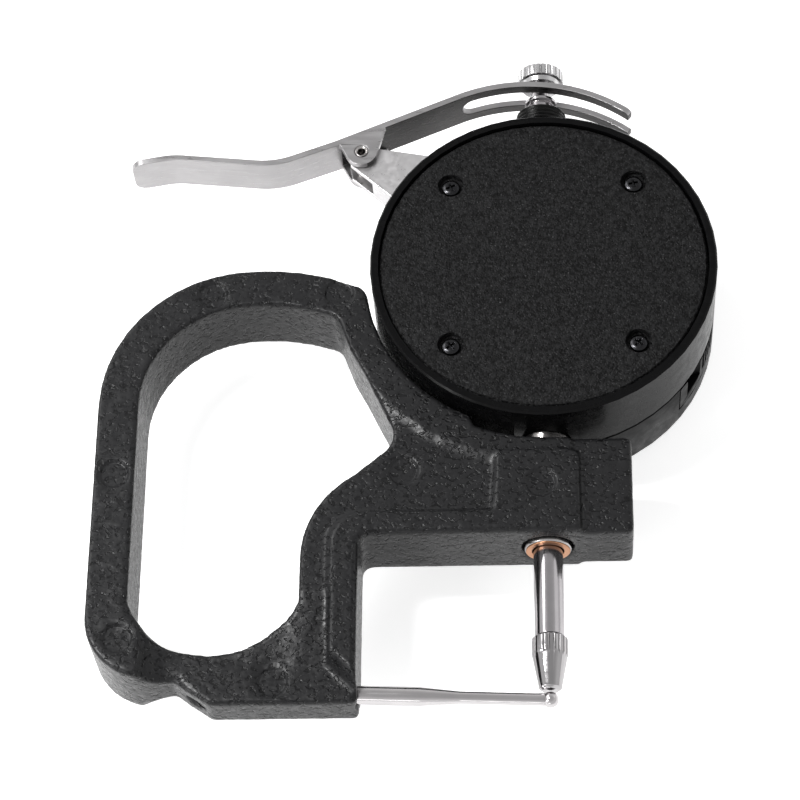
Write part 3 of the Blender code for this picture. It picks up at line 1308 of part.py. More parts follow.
def build_lever(hinge, steel):
    """The pressed lever: dished thumb pad, clevis ears and an open fork under the lift cap."""
    origin = PIVOT.to_2d()
    half = LEVER_WIDTH / 2
    plate = sheet_along(lever_side(), LEVER_THICKNESS)
    lever = slab("lever", [plate], -half, half, hinge, steel, origin=origin)
    for side, word in ((1, "back"), (-1, "display")):
        low, high = sorted((side * (half - LEVER_THICKNESS), side * half))
        ear = slab(f"ear_{word}", [ear_outline()], low, high, hinge, cutter=True, origin=origin)
        combine(lever, ear, "UNION")
    combine(lever, plan_cutter("fork_slot", slot_plan(), hinge, origin))
    combine(lever, plan_cutter("tine_ends", tine_end_plan(), hinge, origin))
    combine(lever, plan_cutter("pad_end", pad_end_plan(), hinge, origin))
    hole = drill("ear_hole", PIN_RADIUS + RUNNING_GAP, (0, 0, -LEVER_WIDTH), (0, 0, LEVER_WIDTH), hinge)
    combine(lever, hole)
    combine(lever, dish_cutter(hinge, origin))


def plan_cutter(name, outline, parent, origin):
    """A cutter drawn in plan, across the lever's width, and run through along Y."""
    high = FORK_CENTRE_Y + FORK_RADIUS + OVERRUN
    low = PAD_DIP_Y - 3 * LEVER_THICKNESS
    cutter = slab(name, [outline], low - origin[1], high - origin[1], parent, cutter=True,
                  origin=(origin[0], 0))
    cutter.matrix_local = Matrix.Rotation(math.radians(-90), 4, "X")
    return cutter


def slot_plan():
    half = SLOT_WIDTH / 2
    centre = (SLOT_START + half, 0)
    end = FORK_CENTRE_X + FORK_RADIUS
    return [(end, -half), (end, half), *arc(centre, half, math.pi / 2, 1.5 * math.pi)]


def tine_end_plan():
    """What rounds off the corners of the fork's two tines, beyond their tips."""
    r = TINE_CORNER
    tip = FORK_CENTRE_X + FORK_RADIUS * math.cos(FORK_END)
    start, outside = tip - r, tip + r
    wide, inner, outer = LEVER_WIDTH / 2 + r, SLOT_WIDTH / 2, LEVER_WIDTH / 2
    tine = [
        (start, wide),
        *arc((start, outer - r), r, math.pi / 2, 0),
        *arc((start, inner + r), r, 0, -math.pi / 2),
        (start, inner - r),
    ]
    other = [(x, -z) for x, z in tine[::-1]]
    return [(outside, -wide), (outside, wide), *tine, *other]


def pad_end_plan():
    """What rounds off the two corners of the thumb pad, left of its tip."""
    half = LEVER_WIDTH / 2
    tip = PAD_TIP_X
    outside = tip - PAD_CORNER
    wide = half + PAD_CORNER
    inner = PAD_CORNER
    upper = arc((tip + inner, half - inner), inner, math.pi / 2, math.pi)
    lower = arc((tip + inner, inner - half), inner, math.pi, 1.5 * math.pi)
    return [(tip + inner, wide), (outside, wide), (outside, -wide), (tip + inner, -wide), *lower[::-1],
            *upper[::-1]]


def dish_cutter(hinge, origin):
    """A long shallow bowl pressed into the underside of the thumb pad."""
    shape = bmesh.new()
    bmesh.ops.create_uvsphere(shape, u_segments=24, v_segments=12, radius=1)
    size = Matrix.Diagonal((DISH_LENGTH / 2, DISH_DEPTH, DISH_WIDTH / 2, 1))
    middle = Vector((PAD_CREST_X + DISH_DEPTH * 4, PAD_CREST_Y - LEVER_THICKNESS * 1.35, 0))
    spot = Matrix.Translation(middle - Vector((*origin, 0)))
    bmesh.ops.transform(shape, matrix=spot @ size, verts=shape.verts)
    return place(mesh_of(shape, "pad_dish"), "pad_dish", hinge, cutter=True)


def build_lever_pin(datum, steel):
    """The hollow rivet through both ears and the bracket."""
    end = LEVER_WIDTH / 2 + RUNNING_GAP
    head = end + PIN_HEAD_HEIGHT
    profile = [(PIN_BORE, head), (PIN_HEAD_RADIUS, head), (PIN_HEAD_RADIUS, end), (PIN_RADIUS, end),
               (PIN_RADIUS, -end), (PIN_HEAD_RADIUS, -end), (PIN_HEAD_RADIUS, -head), (PIN_BORE, -head)]
    turned("lever_pin", profile, PIVOT, datum, steel, "Z", HOLE_STEPS)


def line_to_circle(start, angle, radius):
    """Where a line from a point, at an angle, first reaches a circle round the datum."""
    run = Vector((math.cos(angle), math.sin(angle)))
    half = Vector(start).dot(run)
    rest = Vector(start).length_squared - radius**2
    return Vector(start) + run * (-half - math.sqrt(max(0.0, half**2 - rest)))


def bracket_edges():
    """The bracket's lower and upper edges, each as the pin-side start and the case-side end."""
    pivot = PIVOT.to_2d()
    case = CASE_RADIUS + SEAT_GAP
    down = Vector((math.sin(BRACKET_LOWER_ANGLE), -math.cos(BRACKET_LOWER_ANGLE)))
    up = Vector((-math.sin(BRACKET_UPPER_ANGLE), math.cos(BRACKET_UPPER_ANGLE)))
    lower = pivot + down * BRACKET_LOWER_OFFSET
    upper = pivot + up * BRACKET_UPPER_OFFSET
    return (lower, line_to_circle(lower, BRACKET_LOWER_ANGLE, case),
            upper, line_to_circle(upper, BRACKET_UPPER_ANGLE, case))


def bracket_outline():
    pivot = PIVOT.to_2d()
    lower, lower_end, upper, upper_end = bracket_edges()
    r = BRACKET_END_RADIUS
    share = BRACKET_UPPER_OFFSET / r
    start = BRACKET_UPPER_ANGLE + math.asin(share)
    end = BRACKET_LOWER_ANGLE + math.radians(215)
    case = arc((0, 0), CASE_RADIUS + SEAT_GAP, angle_at((0, 0), lower_end), angle_at((0, 0), upper_end))
    return [tuple(lower), *case, *arc(pivot, r, start, end)]


def bracket_hollow():
    """What the U-shaped bend leaves open between the two cheeks."""
    lower, lower_end, upper, upper_end = bracket_edges()
    run = Vector((math.cos(BRACKET_LOWER_ANGLE), math.sin(BRACKET_LOWER_ANGLE)))
    up = Vector((-run.y, run.x))
    sheet = BRACKET_SHEET
    inner_case = CASE_RADIUS + SEAT_GAP + sheet
    web_start = lower + run * BRACKET_WEB_END + up * sheet
    web_end = line_to_circle(web_start, BRACKET_LOWER_ANGLE, inner_case)
    case = arc((0, 0), inner_case, angle_at((0, 0), web_end), angle_at((0, 0), upper_end))
    above = Vector((0, LEVER_WIDTH))
    outer_left = lower - run * LEVER_WIDTH
    return [tuple(web_start), *case, tuple(upper_end + above), tuple(upper - run * LEVER_WIDTH + above),
            tuple(outer_left - up * sheet), tuple(web_start - up * 3 * sheet)]


def bracket_screw_angles():
    lower_end, upper_end = bracket_edges()[1::2]
    middle = (angle_at((0, 0), lower_end) + angle_at((0, 0), upper_end)) / 2
    half = BRACKET_SCREW_SPREAD / 2
    return (("bracket_screw_1", middle - half), ("bracket_screw_2", middle + half))


def build_bracket(datum, steel, dark):
    """The folded bracket on the side of the case, with the two screws through its foot."""
    half = BRACKET_WIDTH / 2
    inner = half - BRACKET_SHEET
    bracket = slab("lever_bracket", [bracket_outline()], AXIS_HEIGHT - half, AXIS_HEIGHT + half, datum, steel)
    hollow = slab("bracket_hollow", [bracket_hollow()], AXIS_HEIGHT - inner, AXIS_HEIGHT + inner, datum,
                  cutter=True)
    combine(bracket, hollow)
    low, high = PIVOT - Vector((0, 0, LEVER_WIDTH)), PIVOT + Vector((0, 0, LEVER_WIDTH))
    combine(bracket, drill("bracket_pin_hole", PIN_RADIUS + RUNNING_GAP, low, high, datum))
    seat = CASE_RADIUS + SEAT_GAP + BRACKET_SHEET + RUNNING_GAP
    for name, angle in bracket_screw_angles():
        aim = Vector((math.cos(angle), math.sin(angle), 0))
        lift = Vector((0, 0, AXIS_HEIGHT))
        hole = drill(name + "_hole", BRACKET_SCREW_SHANK + RUNNING_GAP, aim * (CASE_RADIUS - OVERRUN) + lift,
                     aim * (seat + OVERRUN) + lift, datum, 12)
        combine(bracket, hole)
        build_bracket_screw(name, angle, seat, datum, dark)


def build_bracket_screw(name, angle, seat, datum, steel):
    head, rise, shank = BRACKET_SCREW_HEAD, BRACKET_SCREW_HEAD_HEIGHT, BRACKET_SCREW_SHANK
    grip = BRACKET_SHEET + RUNNING_GAP + SEAT_GAP + BRACKET_SCREW_GRIP
    line = empty(name + "_line", (0, 0, AXIS_HEIGHT), datum, angle)
    profile = [(0, seat + rise), (head * 0.7, seat + rise), (head, seat + rise * 0.6), (head, seat),
               (shank, seat), (shank, seat - grip), (0, seat - grip)]
    screw = turned(name, profile, (0, 0, 0), line, steel, "X", 16)
    top = seat + rise
    socket = hex_key(name + "_socket", head * 0.5, (top - rise * 0.6, 0, 0), (top + OVERRUN, 0, 0), line)
    combine(screw, socket)


def main():
    clear_scene()
    paint = finish("hammered_black_paint", (0.035, 0.037, 0.040), 0.45)
    steel = finish("ground_steel", (0.62, 0.60, 0.60), 0.22, 1.0)
    chrome = finish("chrome", (0.80, 0.80, 0.81), 0.12, 1.0)
    sheet = finish("brushed_sheet_steel", (0.66, 0.65, 0.65), 0.34, 1.0)
    bronze = finish("bronze", (0.55, 0.33, 0.20), 0.30, 1.0)
    black = finish("black_drawer_plastic", (0.016, 0.016, 0.017), 0.38)
    coated = finish("black_case_coating", (0.016, 0.016, 0.017), 0.36)
    grained = finish("grained_black_coating", (0.020, 0.020, 0.021), 0.62)
    anodised = finish("black_anodised_sleeve", (0.012, 0.012, 0.012), 0.33)
    dark = finish("black_screw_steel", (0.030, 0.030, 0.032), 0.30, 0.8)
    brass = finish("brass_block", (0.70, 0.55, 0.28), 0.35, 1.0)
    board = finish("board_green", (0.03, 0.16, 0.08), 0.50)
    clear = finish("window_plastic", (0.10, 0.11, 0.11), 0.08)
    glass = finish("lcd_grey", (0.42, 0.46, 0.42), 0.25)
    rubber = finish("button_rubber", (0.22, 0.22, 0.23), 0.55)
    nickel = finish("nickel", (0.72, 0.71, 0.68), 0.20, 1.0)

    datum = empty("head_datum", (DATUM_X, DATUM_Y, 0))
    rail = empty("spindle_line", (0, 0, AXIS_HEIGHT), datum)
    hinge = empty("lever_pivot", PIVOT, datum)
    slide = empty("drawer_line", (0, 0, 0), datum, DRAWER_ANGLE)

    build_frame(datum, paint)
    build_anvil(datum, chrome)
    build_grub_screw(datum, dark)
    build_stem(datum, steel, bronze)
    build_upper_stem(datum, anodised)
    build_spindle(rail, steel)
    build_contact_point(rail, steel)
    build_lift_cap(rail, chrome)
    build_slide(rail, datum, brass, board, steel)
    build_return_spring(datum, steel)
    openings = stem_cutters(datum)
    build_rear_shell(datum, coated, openings)
    build_cover(datum, grained, dark)
    build_front_shell(datum, coated, openings, drawer_cutter(slide))
    build_face(datum, clear, glass, board)
    for name, x in zip(("button_zero", "button_unit", "button_power"), button_places()):
        build_button(name, x, datum, rubber)
    build_drawer(slide, black, nickel)
    build_contact_strip(slide, nickel)
    build_lever(hinge, sheet)
    build_lever_pin(datum, steel)
    build_bracket(datum, sheet, dark)


main()
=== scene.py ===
import bpy, bmesh, json, math
from mathutils import Matrix, Vector, noise as mathNoise

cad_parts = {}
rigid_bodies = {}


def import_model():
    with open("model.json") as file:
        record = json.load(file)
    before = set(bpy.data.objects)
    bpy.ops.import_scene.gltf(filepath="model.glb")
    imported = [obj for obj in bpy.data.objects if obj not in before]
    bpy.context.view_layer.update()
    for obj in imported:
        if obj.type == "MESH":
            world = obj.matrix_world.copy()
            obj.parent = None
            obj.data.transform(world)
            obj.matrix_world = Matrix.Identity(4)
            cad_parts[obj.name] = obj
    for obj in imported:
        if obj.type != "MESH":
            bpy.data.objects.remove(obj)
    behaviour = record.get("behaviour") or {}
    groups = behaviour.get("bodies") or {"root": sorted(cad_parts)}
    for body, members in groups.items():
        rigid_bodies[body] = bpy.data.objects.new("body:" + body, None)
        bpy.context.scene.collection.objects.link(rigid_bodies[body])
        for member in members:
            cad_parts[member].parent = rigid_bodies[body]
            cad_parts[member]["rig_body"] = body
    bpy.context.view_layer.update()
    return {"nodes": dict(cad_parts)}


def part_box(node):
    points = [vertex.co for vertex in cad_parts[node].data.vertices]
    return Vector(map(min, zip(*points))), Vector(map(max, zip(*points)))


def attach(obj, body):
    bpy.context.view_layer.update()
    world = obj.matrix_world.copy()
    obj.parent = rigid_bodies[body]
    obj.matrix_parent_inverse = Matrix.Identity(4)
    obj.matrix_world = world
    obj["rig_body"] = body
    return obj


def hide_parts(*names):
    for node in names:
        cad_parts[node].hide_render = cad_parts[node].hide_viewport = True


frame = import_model()

mm = 0.001
nodes = frame["nodes"]
# the head's own axis, from which everything on the gauge is measured
datum = Vector((23.25, 16.65, 0)) * mm
spindleHeight = sum(corner.z for corner in map(Vector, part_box("spindle"))) / 2 / mm
headPlace = Matrix.Translation(datum) @ Matrix.Scale(mm, 4)
anvilLine = -77.3  # the fixed anvil's ball stands this far below the head
# points nearer than these, in mm, are joined
joined = {"copy": 0.002, "lathe": 0.0005, "carving": 0.001, "lever": 0.03, "letters": 0.001}


# ---- shape helpers: shapes are made in mm from the head's axis, and put in place at the end

def vertsOf(grown):
    return [item for item in grown["geom"] if isinstance(item, bmesh.types.BMVert)]


def headBox(nodeName):
    low, high = (headPlace.inverted() @ Vector(corner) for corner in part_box(nodeName))
    return low, high


def fromNode(nodeName):
    # a copy of a CAD node with its loose triangles joined and its flat faces made whole
    bm = bmesh.new()
    bm.from_mesh(nodes[nodeName].data)
    bmesh.ops.transform(bm, matrix=headPlace.inverted(), verts=bm.verts)
    bmesh.ops.remove_doubles(bm, verts=bm.verts, dist=joined["copy"])
    bmesh.ops.dissolve_degenerate(bm, edges=bm.edges, dist=joined["copy"])
    bmesh.ops.dissolve_limit(bm, angle_limit=math.radians(1.0), verts=bm.verts, edges=bm.edges)
    return bm


def soften(corners, steps=6, closed=False):
    # corners are (a, b, radius); each is turned by an arc of its radius
    points = []
    for i, (a, b, radius) in enumerate(corners):
        atEnd = not closed and i in (0, len(corners) - 1)
        if radius <= 0 or atEnd:
            points.append(Vector((a, b)))
            continue
        here = Vector((a, b))
        back = (Vector(corners[i - 1][:2]) - here).normalized()
        ahead = (Vector(corners[(i + 1) % len(corners)][:2]) - here).normalized()
        half = back.angle(ahead) / 2
        centre = here + (back + ahead).normalized() * (radius / math.sin(half))
        first = here + back * (radius / math.tan(half)) - centre
        last = here + ahead * (radius / math.tan(half)) - centre
        for k in range(steps + 1):
            points.append(centre + first.slerp(last, k / steps).normalized() * radius)
    return points


def sweepArc(centre, radius, start, end, count):
    angles = [math.radians(start + (end - start) * k / count) for k in range(count + 1)]
    return [Vector((centre[0] + radius * math.cos(a), centre[1] + radius * math.sin(a))) for a in angles]


aims = {"Z": Matrix.Identity(4), "Y": Matrix.Rotation(math.radians(-90), 4, "X"),
        "X": Matrix.Rotation(math.radians(90), 4, "Y")}


def lathe(profile, segments=96, aim="Z", at=(0, 0, 0)):
    # profile of (radius, height); it closes on itself unless both ends are on the axis
    bm = bmesh.new()
    verts = [bm.verts.new((radius, 0, height)) for radius, height in profile]
    edges = [bm.edges.new(pair) for pair in zip(verts, verts[1:])]
    if profile[0][0] > 0 and profile[-1][0] > 0:
        edges.append(bm.edges.new((verts[-1], verts[0])))
    bmesh.ops.spin(bm, geom=verts + edges, cent=(0, 0, 0), axis=(0, 0, 1), angle=2 * math.pi,
                   steps=segments, use_merge=True)
    bmesh.ops.remove_doubles(bm, verts=bm.verts, dist=joined["lathe"])
    bmesh.ops.recalc_face_normals(bm, faces=bm.faces)
    bmesh.ops.transform(bm, matrix=Matrix.Translation(at) @ aims[aim], verts=bm.verts)
    return bm


def plate(outline, low, high, aim="Z", at=(0, 0, 0)):
    bm = bmesh.new()
    corners = [bm.verts.new((point[0], point[1], low)) for point in outline]
    made = bmesh.ops.contextual_create(bm, geom=corners)
    grown = bmesh.ops.extrude_face_region(bm, geom=made["faces"])
    bmesh.ops.translate(bm, vec=(0, 0, high - low), verts=vertsOf(grown))
    bmesh.ops.recalc_face_normals(bm, faces=bm.faces)
    bmesh.ops.transform(bm, matrix=Matrix.Translation(at) @ aims[aim], verts=bm.verts)
    return bm


def putInScene(name, data):
    thing = bpy.data.objects.new(name, data)
    bpy.context.scene.collection.objects.link(thing)
    return thing


def asObject(bm, name):
    mesh = bpy.data.meshes.new(name)
    bm.to_mesh(mesh)
    bm.free()
    return putInScene(name, mesh)


def settled(thing):
    # the shape with its modifiers applied; the helper object goes
    graph = bpy.context.evaluated_depsgraph_get()
    mesh = bpy.data.meshes.new_from_object(thing.evaluated_get(graph))
    bm = bmesh.new()
    bm.from_mesh(mesh)
    bpy.data.objects.remove(thing, do_unlink=True)
    bpy.data.meshes.remove(mesh)
    return bm


def carve(bm, *tools, kind="DIFFERENCE"):
    body = asObject(bm, "carving")
    helpers = [asObject(tool, "tool_%d" % i) for i, tool in enumerate(tools)]
    for helper in helpers:
        step = body.modifiers.new("cut", "BOOLEAN")
        step.operation, step.solver, step.object = kind, "EXACT", helper
    result = settled(body)
    for helper in helpers:
        bpy.data.objects.remove(helper, do_unlink=True)
    bmesh.ops.remove_doubles(result, verts=result.verts, dist=joined["carving"])
    return result


edgeAngle = 30  # an edge sharper than this is broken where a piece has a bevel


def pieceFrom(bm, name, body, material, stands=None, smoothAngle=38, bevel=None):
    # bevel is its width in mm, its segments and whether it is kept off its neighbours
    bmesh.ops.transform(bm, matrix=headPlace, verts=bm.verts)
    piece = asObject(bm, name)
    mesh = piece.data
    mesh.materials.clear()
    mesh.materials.append(material)
    mesh.shade_smooth()
    mesh.set_sharp_from_angle(angle=math.radians(smoothAngle))
    if bevel:
        edge = piece.modifiers.new("edges", "BEVEL")
        width, edge.segments, edge.use_clamp_overlap = bevel
        edge.width = width * mm
        edge.limit_method = "ANGLE"
        edge.angle_limit = math.radians(edgeAngle)
        edge.harden_normals = True
    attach(piece, body)
    if stands:
        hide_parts(stands)
    return piece


def refined(nodeName, finishName, width):
    # the CAD solid with its edges broken as a real one's are
    return pieceFrom(fromNode(nodeName), nodeName + "Fine", nodes[nodeName]["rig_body"], finishes[finishName],
                     stands=nodeName, bevel=(width, 2, True))


def dress(nodeName, material):
    mesh = nodes[nodeName].data
    mesh.materials.clear()
    mesh.materials.append(material)


# ---- materials: one small kit for wiring nodes

def newFinish(name, color, roughness, metallic=0.0):
    material = bpy.data.materials.new(name)
    material.use_nodes = True
    shader = material.node_tree.nodes["Principled BSDF"]
    shader.inputs["Base Color"].default_value = (*color, 1)
    shader.inputs["Roughness"].default_value = roughness
    shader.inputs["Metallic"].default_value = metallic
    return material


def addNode(material, kind, **settings):
    node = material.node_tree.nodes.new(kind)
    for key, value in settings.items():
        setattr(node, key, value)
    return node


def join(material, source, target):
    material.node_tree.links.new(source, target)


def objectSpace(material, stretch=(1, 1, 1), turn=(0, 0, 0), move=(0, 0, 0)):
    coords = addNode(material, "ShaderNodeTexCoord")
    mapping = addNode(material, "ShaderNodeMapping", vector_type="POINT")
    mapping.inputs["Scale"].default_value = stretch
    mapping.inputs["Rotation"].default_value = turn
    mapping.inputs["Location"].default_value = move
    join(material, coords.outputs["Object"], mapping.inputs["Vector"])
    return mapping.outputs["Vector"]


def noise(material, space, scale, detail=2.0, roughness=0.5, distortion=0.0):
    node = addNode(material, "ShaderNodeTexNoise")
    join(material, space, node.inputs["Vector"])
    node.inputs["Scale"].default_value = scale
    node.inputs["Detail"].default_value = detail
    node.inputs["Roughness"].default_value = roughness
    node.inputs["Distortion"].default_value = distortion
    return node.outputs["Fac"]


def cells(material, space, scale, smoothness=0.4, feature="SMOOTH_F1"):
    node = addNode(material, "ShaderNodeTexVoronoi", feature=feature)
    join(material, space, node.inputs["Vector"])
    node.inputs["Scale"].default_value = scale
    if feature == "SMOOTH_F1":
        node.inputs["Smoothness"].default_value = smoothness
    return node.outputs["Distance"]


def spread(material, source, low, high, outLow=0.0, outHigh=1.0, smooth=True):
    node = addNode(material, "ShaderNodeMapRange", interpolation_type="SMOOTHSTEP" if smooth else "LINEAR")
    join(material, source, node.inputs["Value"])
    for key, value in (("From Min", low), ("From Max", high), ("To Min", outLow), ("To Max", outHigh)):
        node.inputs[key].default_value = value
    return node.outputs["Result"]


def blendColor(material, amount, first, second):
    node = addNode(material, "ShaderNodeMix", data_type="RGBA")
    join(material, amount, node.inputs["Factor"])
    for key, value in (("A", first), ("B", second)):
        socket = [s for s in node.inputs if s.name == key and s.type == "RGBA"][0]
        if isinstance(value, tuple):
            socket.default_value = (*value, 1)
        else:
            join(material, value, socket)
    return [s for s in node.outputs if s.type == "RGBA"][0]


def sums(material, first, second, kind="ADD"):
    node = addNode(material, "ShaderNodeMath", operation=kind)
    for socket, value in zip(node.inputs, (first, second)):
        if isinstance(value, (int, float)):
            socket.default_value = value
        else:
            join(material, value, socket)
    return node.outputs["Value"]


def relief(material, height, depth, under=None):
    bump = addNode(material, "ShaderNodeBump")
    bump.inputs["Strength"].default_value = 1.0
    bump.inputs["Distance"].default_value = depth * mm
    join(material, height, bump.inputs["Height"])
    if under:
        join(material, under, bump.inputs["Normal"])
    return bump.outputs["Normal"]


def feed(material, socketName, source):
    join(material, source, material.node_tree.nodes["Principled BSDF"].inputs[socketName])


def setGloss(material, level):
    material.node_tree.nodes["Principled BSDF"].inputs["Specular IOR Level"].default_value = level


def roughen(material, pattern, low, high):
    feed(material, "Roughness", spread(material, pattern, 0.3, 0.7, low, high))


# ---- finishes: scales are per metre, depths in mm

hammered = {
    "color": (0.0105, 0.0105, 0.0112),
    # painted shade for the low spots of the hammered relief
    "pitShadeColor": (0.0040, 0.0040, 0.0044),
    "roughness": (0.25, 0.40),
    "gloss": 0.21,
    "pitScale": 1050.0,
    "pitEdges": (0.34, 0.47),
    "pitDepth": 0.13,
    "swellScale": 420.0,
    "swellDepth": 0.16,
    "grainScale": 2900.0,
    "grainDepth": 0.012,
    "hazeScale": 1500.0,
}


def hammeredPaint():
    paint = newFinish("hammeredBlackPaint", hammered["color"], sum(hammered["roughness"]) / 2)
    setGloss(paint, hammered["gloss"])
    space = objectSpace(paint)
    warp = objectSpace(paint, stretch=(1, 1.3, 1), turn=(0, 0, math.radians(25)))
    pits = spread(paint, noise(paint, warp, hammered["pitScale"], 1.0, 0.4, 0.5), *hammered["pitEdges"])
    normal = relief(paint, noise(paint, space, hammered["swellScale"]), hammered["swellDepth"])
    normal = relief(paint, pits, hammered["pitDepth"], normal)
    normal = relief(paint, noise(paint, space, hammered["grainScale"], 2.0, 0.6), hammered["grainDepth"], normal)
    feed(paint, "Normal", normal)
    # the low spots of the hammered relief take the darker colour: painted shade in the pits
    feed(paint, "Base Color", blendColor(paint, pits, hammered["pitShadeColor"], hammered["color"]))
    roughen(paint, noise(paint, space, hammered["hazeScale"], 3.0, 0.6), *hammered["roughness"])
    return paint


def smoothCase(name, color, gloss, roughness):
    coat = newFinish(name, color, roughness)
    setGloss(coat, gloss)
    space = objectSpace(coat)
    roughen(coat, noise(coat, space, 500.0, 4.0, 0.65), roughness - 0.06, roughness + 0.08)
    normal = relief(coat, noise(coat, space, 60.0), 0.05)
    feed(coat, "Normal", relief(coat, noise(coat, space, 5200.0, 2.0, 0.6), 0.003, normal))
    return coat


grained = {
    "color": (0.0048, 0.0048, 0.0050),
    # painted shade for the grain's hollows and painted highlight for its tops
    "hollowShadeColor": (0.0004, 0.0004, 0.0005),
    "topLightColor": (0.0125, 0.0125, 0.0130),
    "speckColor": (0.040, 0.040, 0.041),
    "roughness": (0.30, 0.56),
    "gloss": 0.10,
    "grainScale": 2300.0,
    "grainDepth": 0.075,
    "patchScale": 1700.0,
    "patchDepth": 0.13,
    "speckScale": 2700.0,
}


def grainedCover():
    coat = newFinish("grainedBlackCover", grained["color"], 0.40)
    setGloss(coat, grained["gloss"])
    space = objectSpace(coat)
    grain = spread(coat, cells(coat, space, grained["grainScale"], 0.45), 0.05, 0.62)
    patches = noise(coat, space, grained["patchScale"], 3.0, 0.65)
    normal = relief(coat, patches, grained["patchDepth"])
    feed(coat, "Normal", relief(coat, grain, grained["grainDepth"], normal))
    feed(coat, "Roughness", spread(coat, grain, 0.0, 1.0, *grained["roughness"]))
    # painted shade makes the hollows of the grain deep black and a painted highlight makes its tops paler, following
    # the same noise as the relief, with a few bright specks
    shadedRelief = blendColor(coat, spread(coat, patches, 0.36, 0.66), grained["hollowShadeColor"], grained["topLightColor"])
    specks = spread(coat, noise(coat, space, grained["speckScale"], 1.0), 0.66, 0.74)
    feed(coat, "Base Color", blendColor(coat, specks, shadedRelief, grained["speckColor"]))
    return coat


def groundSteel(name, color, roughness, along, streak=0.05, tint=0.06):
    # fine lines run along one axis of the gauge; 'along' stretches the pattern that way
    steel = newFinish(name, color, roughness, 1.0)
    space = objectSpace(steel, stretch=along)
    lines = noise(steel, space, 2600.0, 3.0, 0.7)
    cloud = noise(steel, objectSpace(steel), 220.0, 3.0, 0.6)
    darker = tuple(c * (1 - tint) for c in color)
    feed(steel, "Base Color", blendColor(steel, spread(steel, cloud, 0.35, 0.65), darker, color))
    roughen(steel, lines, roughness - streak, roughness + streak)
    feed(steel, "Normal", relief(steel, lines, 0.0025))
    return steel


def rubberKeys():
    rubber = newFinish("keyRubber", (0.20, 0.20, 0.21), 0.6)
    space = objectSpace(rubber)
    feed(rubber, "Normal", relief(rubber, noise(rubber, space, 4200.0, 2.0, 0.6), 0.012))
    roughen(rubber, noise(rubber, space, 900.0, 3.0, 0.6), 0.5, 0.68)
    return rubber


def lacqueredBoard():
    board = newFinish("greenBoard", (0.02, 0.13, 0.06), 0.38)
    space = objectSpace(board)
    tracks = spread(board, cells(board, space, 420.0, 0.1, "F1"), 0.30, 0.34)
    feed(board, "Base Color", blendColor(board, tracks, (0.012, 0.075, 0.035), (0.03, 0.18, 0.085)))
    feed(board, "Normal", relief(board, tracks, 0.02))
    return board


def clearWindow():
    glass = newFinish("windowPlastic", (0.93, 0.95, 0.94), 0.05)
    shader = glass.node_tree.nodes["Principled BSDF"]
    shader.inputs["Transmission Weight"].default_value = 0.9
    shader.inputs["IOR"].default_value = 1.45
    roughen(glass, noise(glass, objectSpace(glass), 700.0, 3.0, 0.6), 0.03, 0.09)
    return glass


def plainInk(name, color):
    ink = newFinish(name, color, 0.45)
    roughen(ink, noise(ink, objectSpace(ink), 2500.0), 0.38, 0.52)
    return ink


def displayGrey():
    panel = newFinish("displayGrey", (0.30, 0.34, 0.29), 0.25)
    space = objectSpace(panel)
    tone = spread(panel, noise(panel, space, 90.0), 0.3, 0.7)
    feed(panel, "Base Color", blendColor(panel, tone, (0.29, 0.33, 0.28), (0.33, 0.37, 0.31)))
    roughen(panel, noise(panel, space, 1200.0), 0.20, 0.32)
    return panel


finishes = {
    "paint": hammeredPaint(),
    "case": smoothCase("smoothBlackCase", (0.0026, 0.0026, 0.0028), 0.08, 0.24),
    "frontCase": smoothCase("frontBlackCase", (0.0030, 0.0030, 0.0033), 0.06, 0.32),
    "cover": grainedCover(),
    "spindle": groundSteel("polishedSpindle", (0.38, 0.365, 0.375), 0.16, (1, 0.04, 1), 0.04),
    "stem": groundSteel("turnedStem", (0.36, 0.345, 0.34), 0.24, (0.08, 1, 0.08), 0.05),
    "contact": groundSteel("contactSteel", (0.36, 0.35, 0.355), 0.13, (0.1, 1, 0.1), 0.04),
    "anvil": groundSteel("anvilSteel", (0.47, 0.455, 0.46), 0.17, (0.05, 1, 1), 0.04),
    "chrome": groundSteel("capChrome", (0.52, 0.515, 0.52), 0.20, (1, 1, 1), 0.03, 0.03),
    "lever": groundSteel("brushedLever", (0.34, 0.332, 0.336), 0.34, (0.05, 0.4, 1), 0.08),
    # a dark copy of the lever's steel: painted shade for the arm's underside
    "leverUnderShade": groundSteel("shadedLeverUnderside", (0.06, 0.058, 0.058), 0.30, (0.05, 0.4, 1), 0.06),
    "bracket": groundSteel("brushedBracket", (0.54, 0.53, 0.535), 0.34, (0.25, 0.25, 1), 0.08),
    "bronze": groundSteel("bushBronze", (0.40, 0.20, 0.11), 0.32, (0.1, 1, 0.1), 0.06),
    "screw": groundSteel("blackScrew", (0.030, 0.030, 0.032), 0.26, (1, 1, 0.2), 0.06),
    "sleeve": smoothCase("blackSleeve", (0.002, 0.002, 0.002), 0.16, 0.24),
    "brass": groundSteel("slideBrass", (0.66, 0.50, 0.24), 0.30, (1, 0.1, 1), 0.05),
    "nickel": groundSteel("nickelPlate", (0.60, 0.58, 0.55), 0.20, (1, 1, 1), 0.04),
    "board": lacqueredBoard(),
    "rubber": rubberKeys(),
    "window": clearWindow(),
    "display": displayGrey(),
    "ink": plainInk("panelInk", (0.02, 0.021, 0.02)),
    "print": plainInk("paleFacePrint", (0.62, 0.62, 0.60)),
}
print("finishes made:", len(finishes))

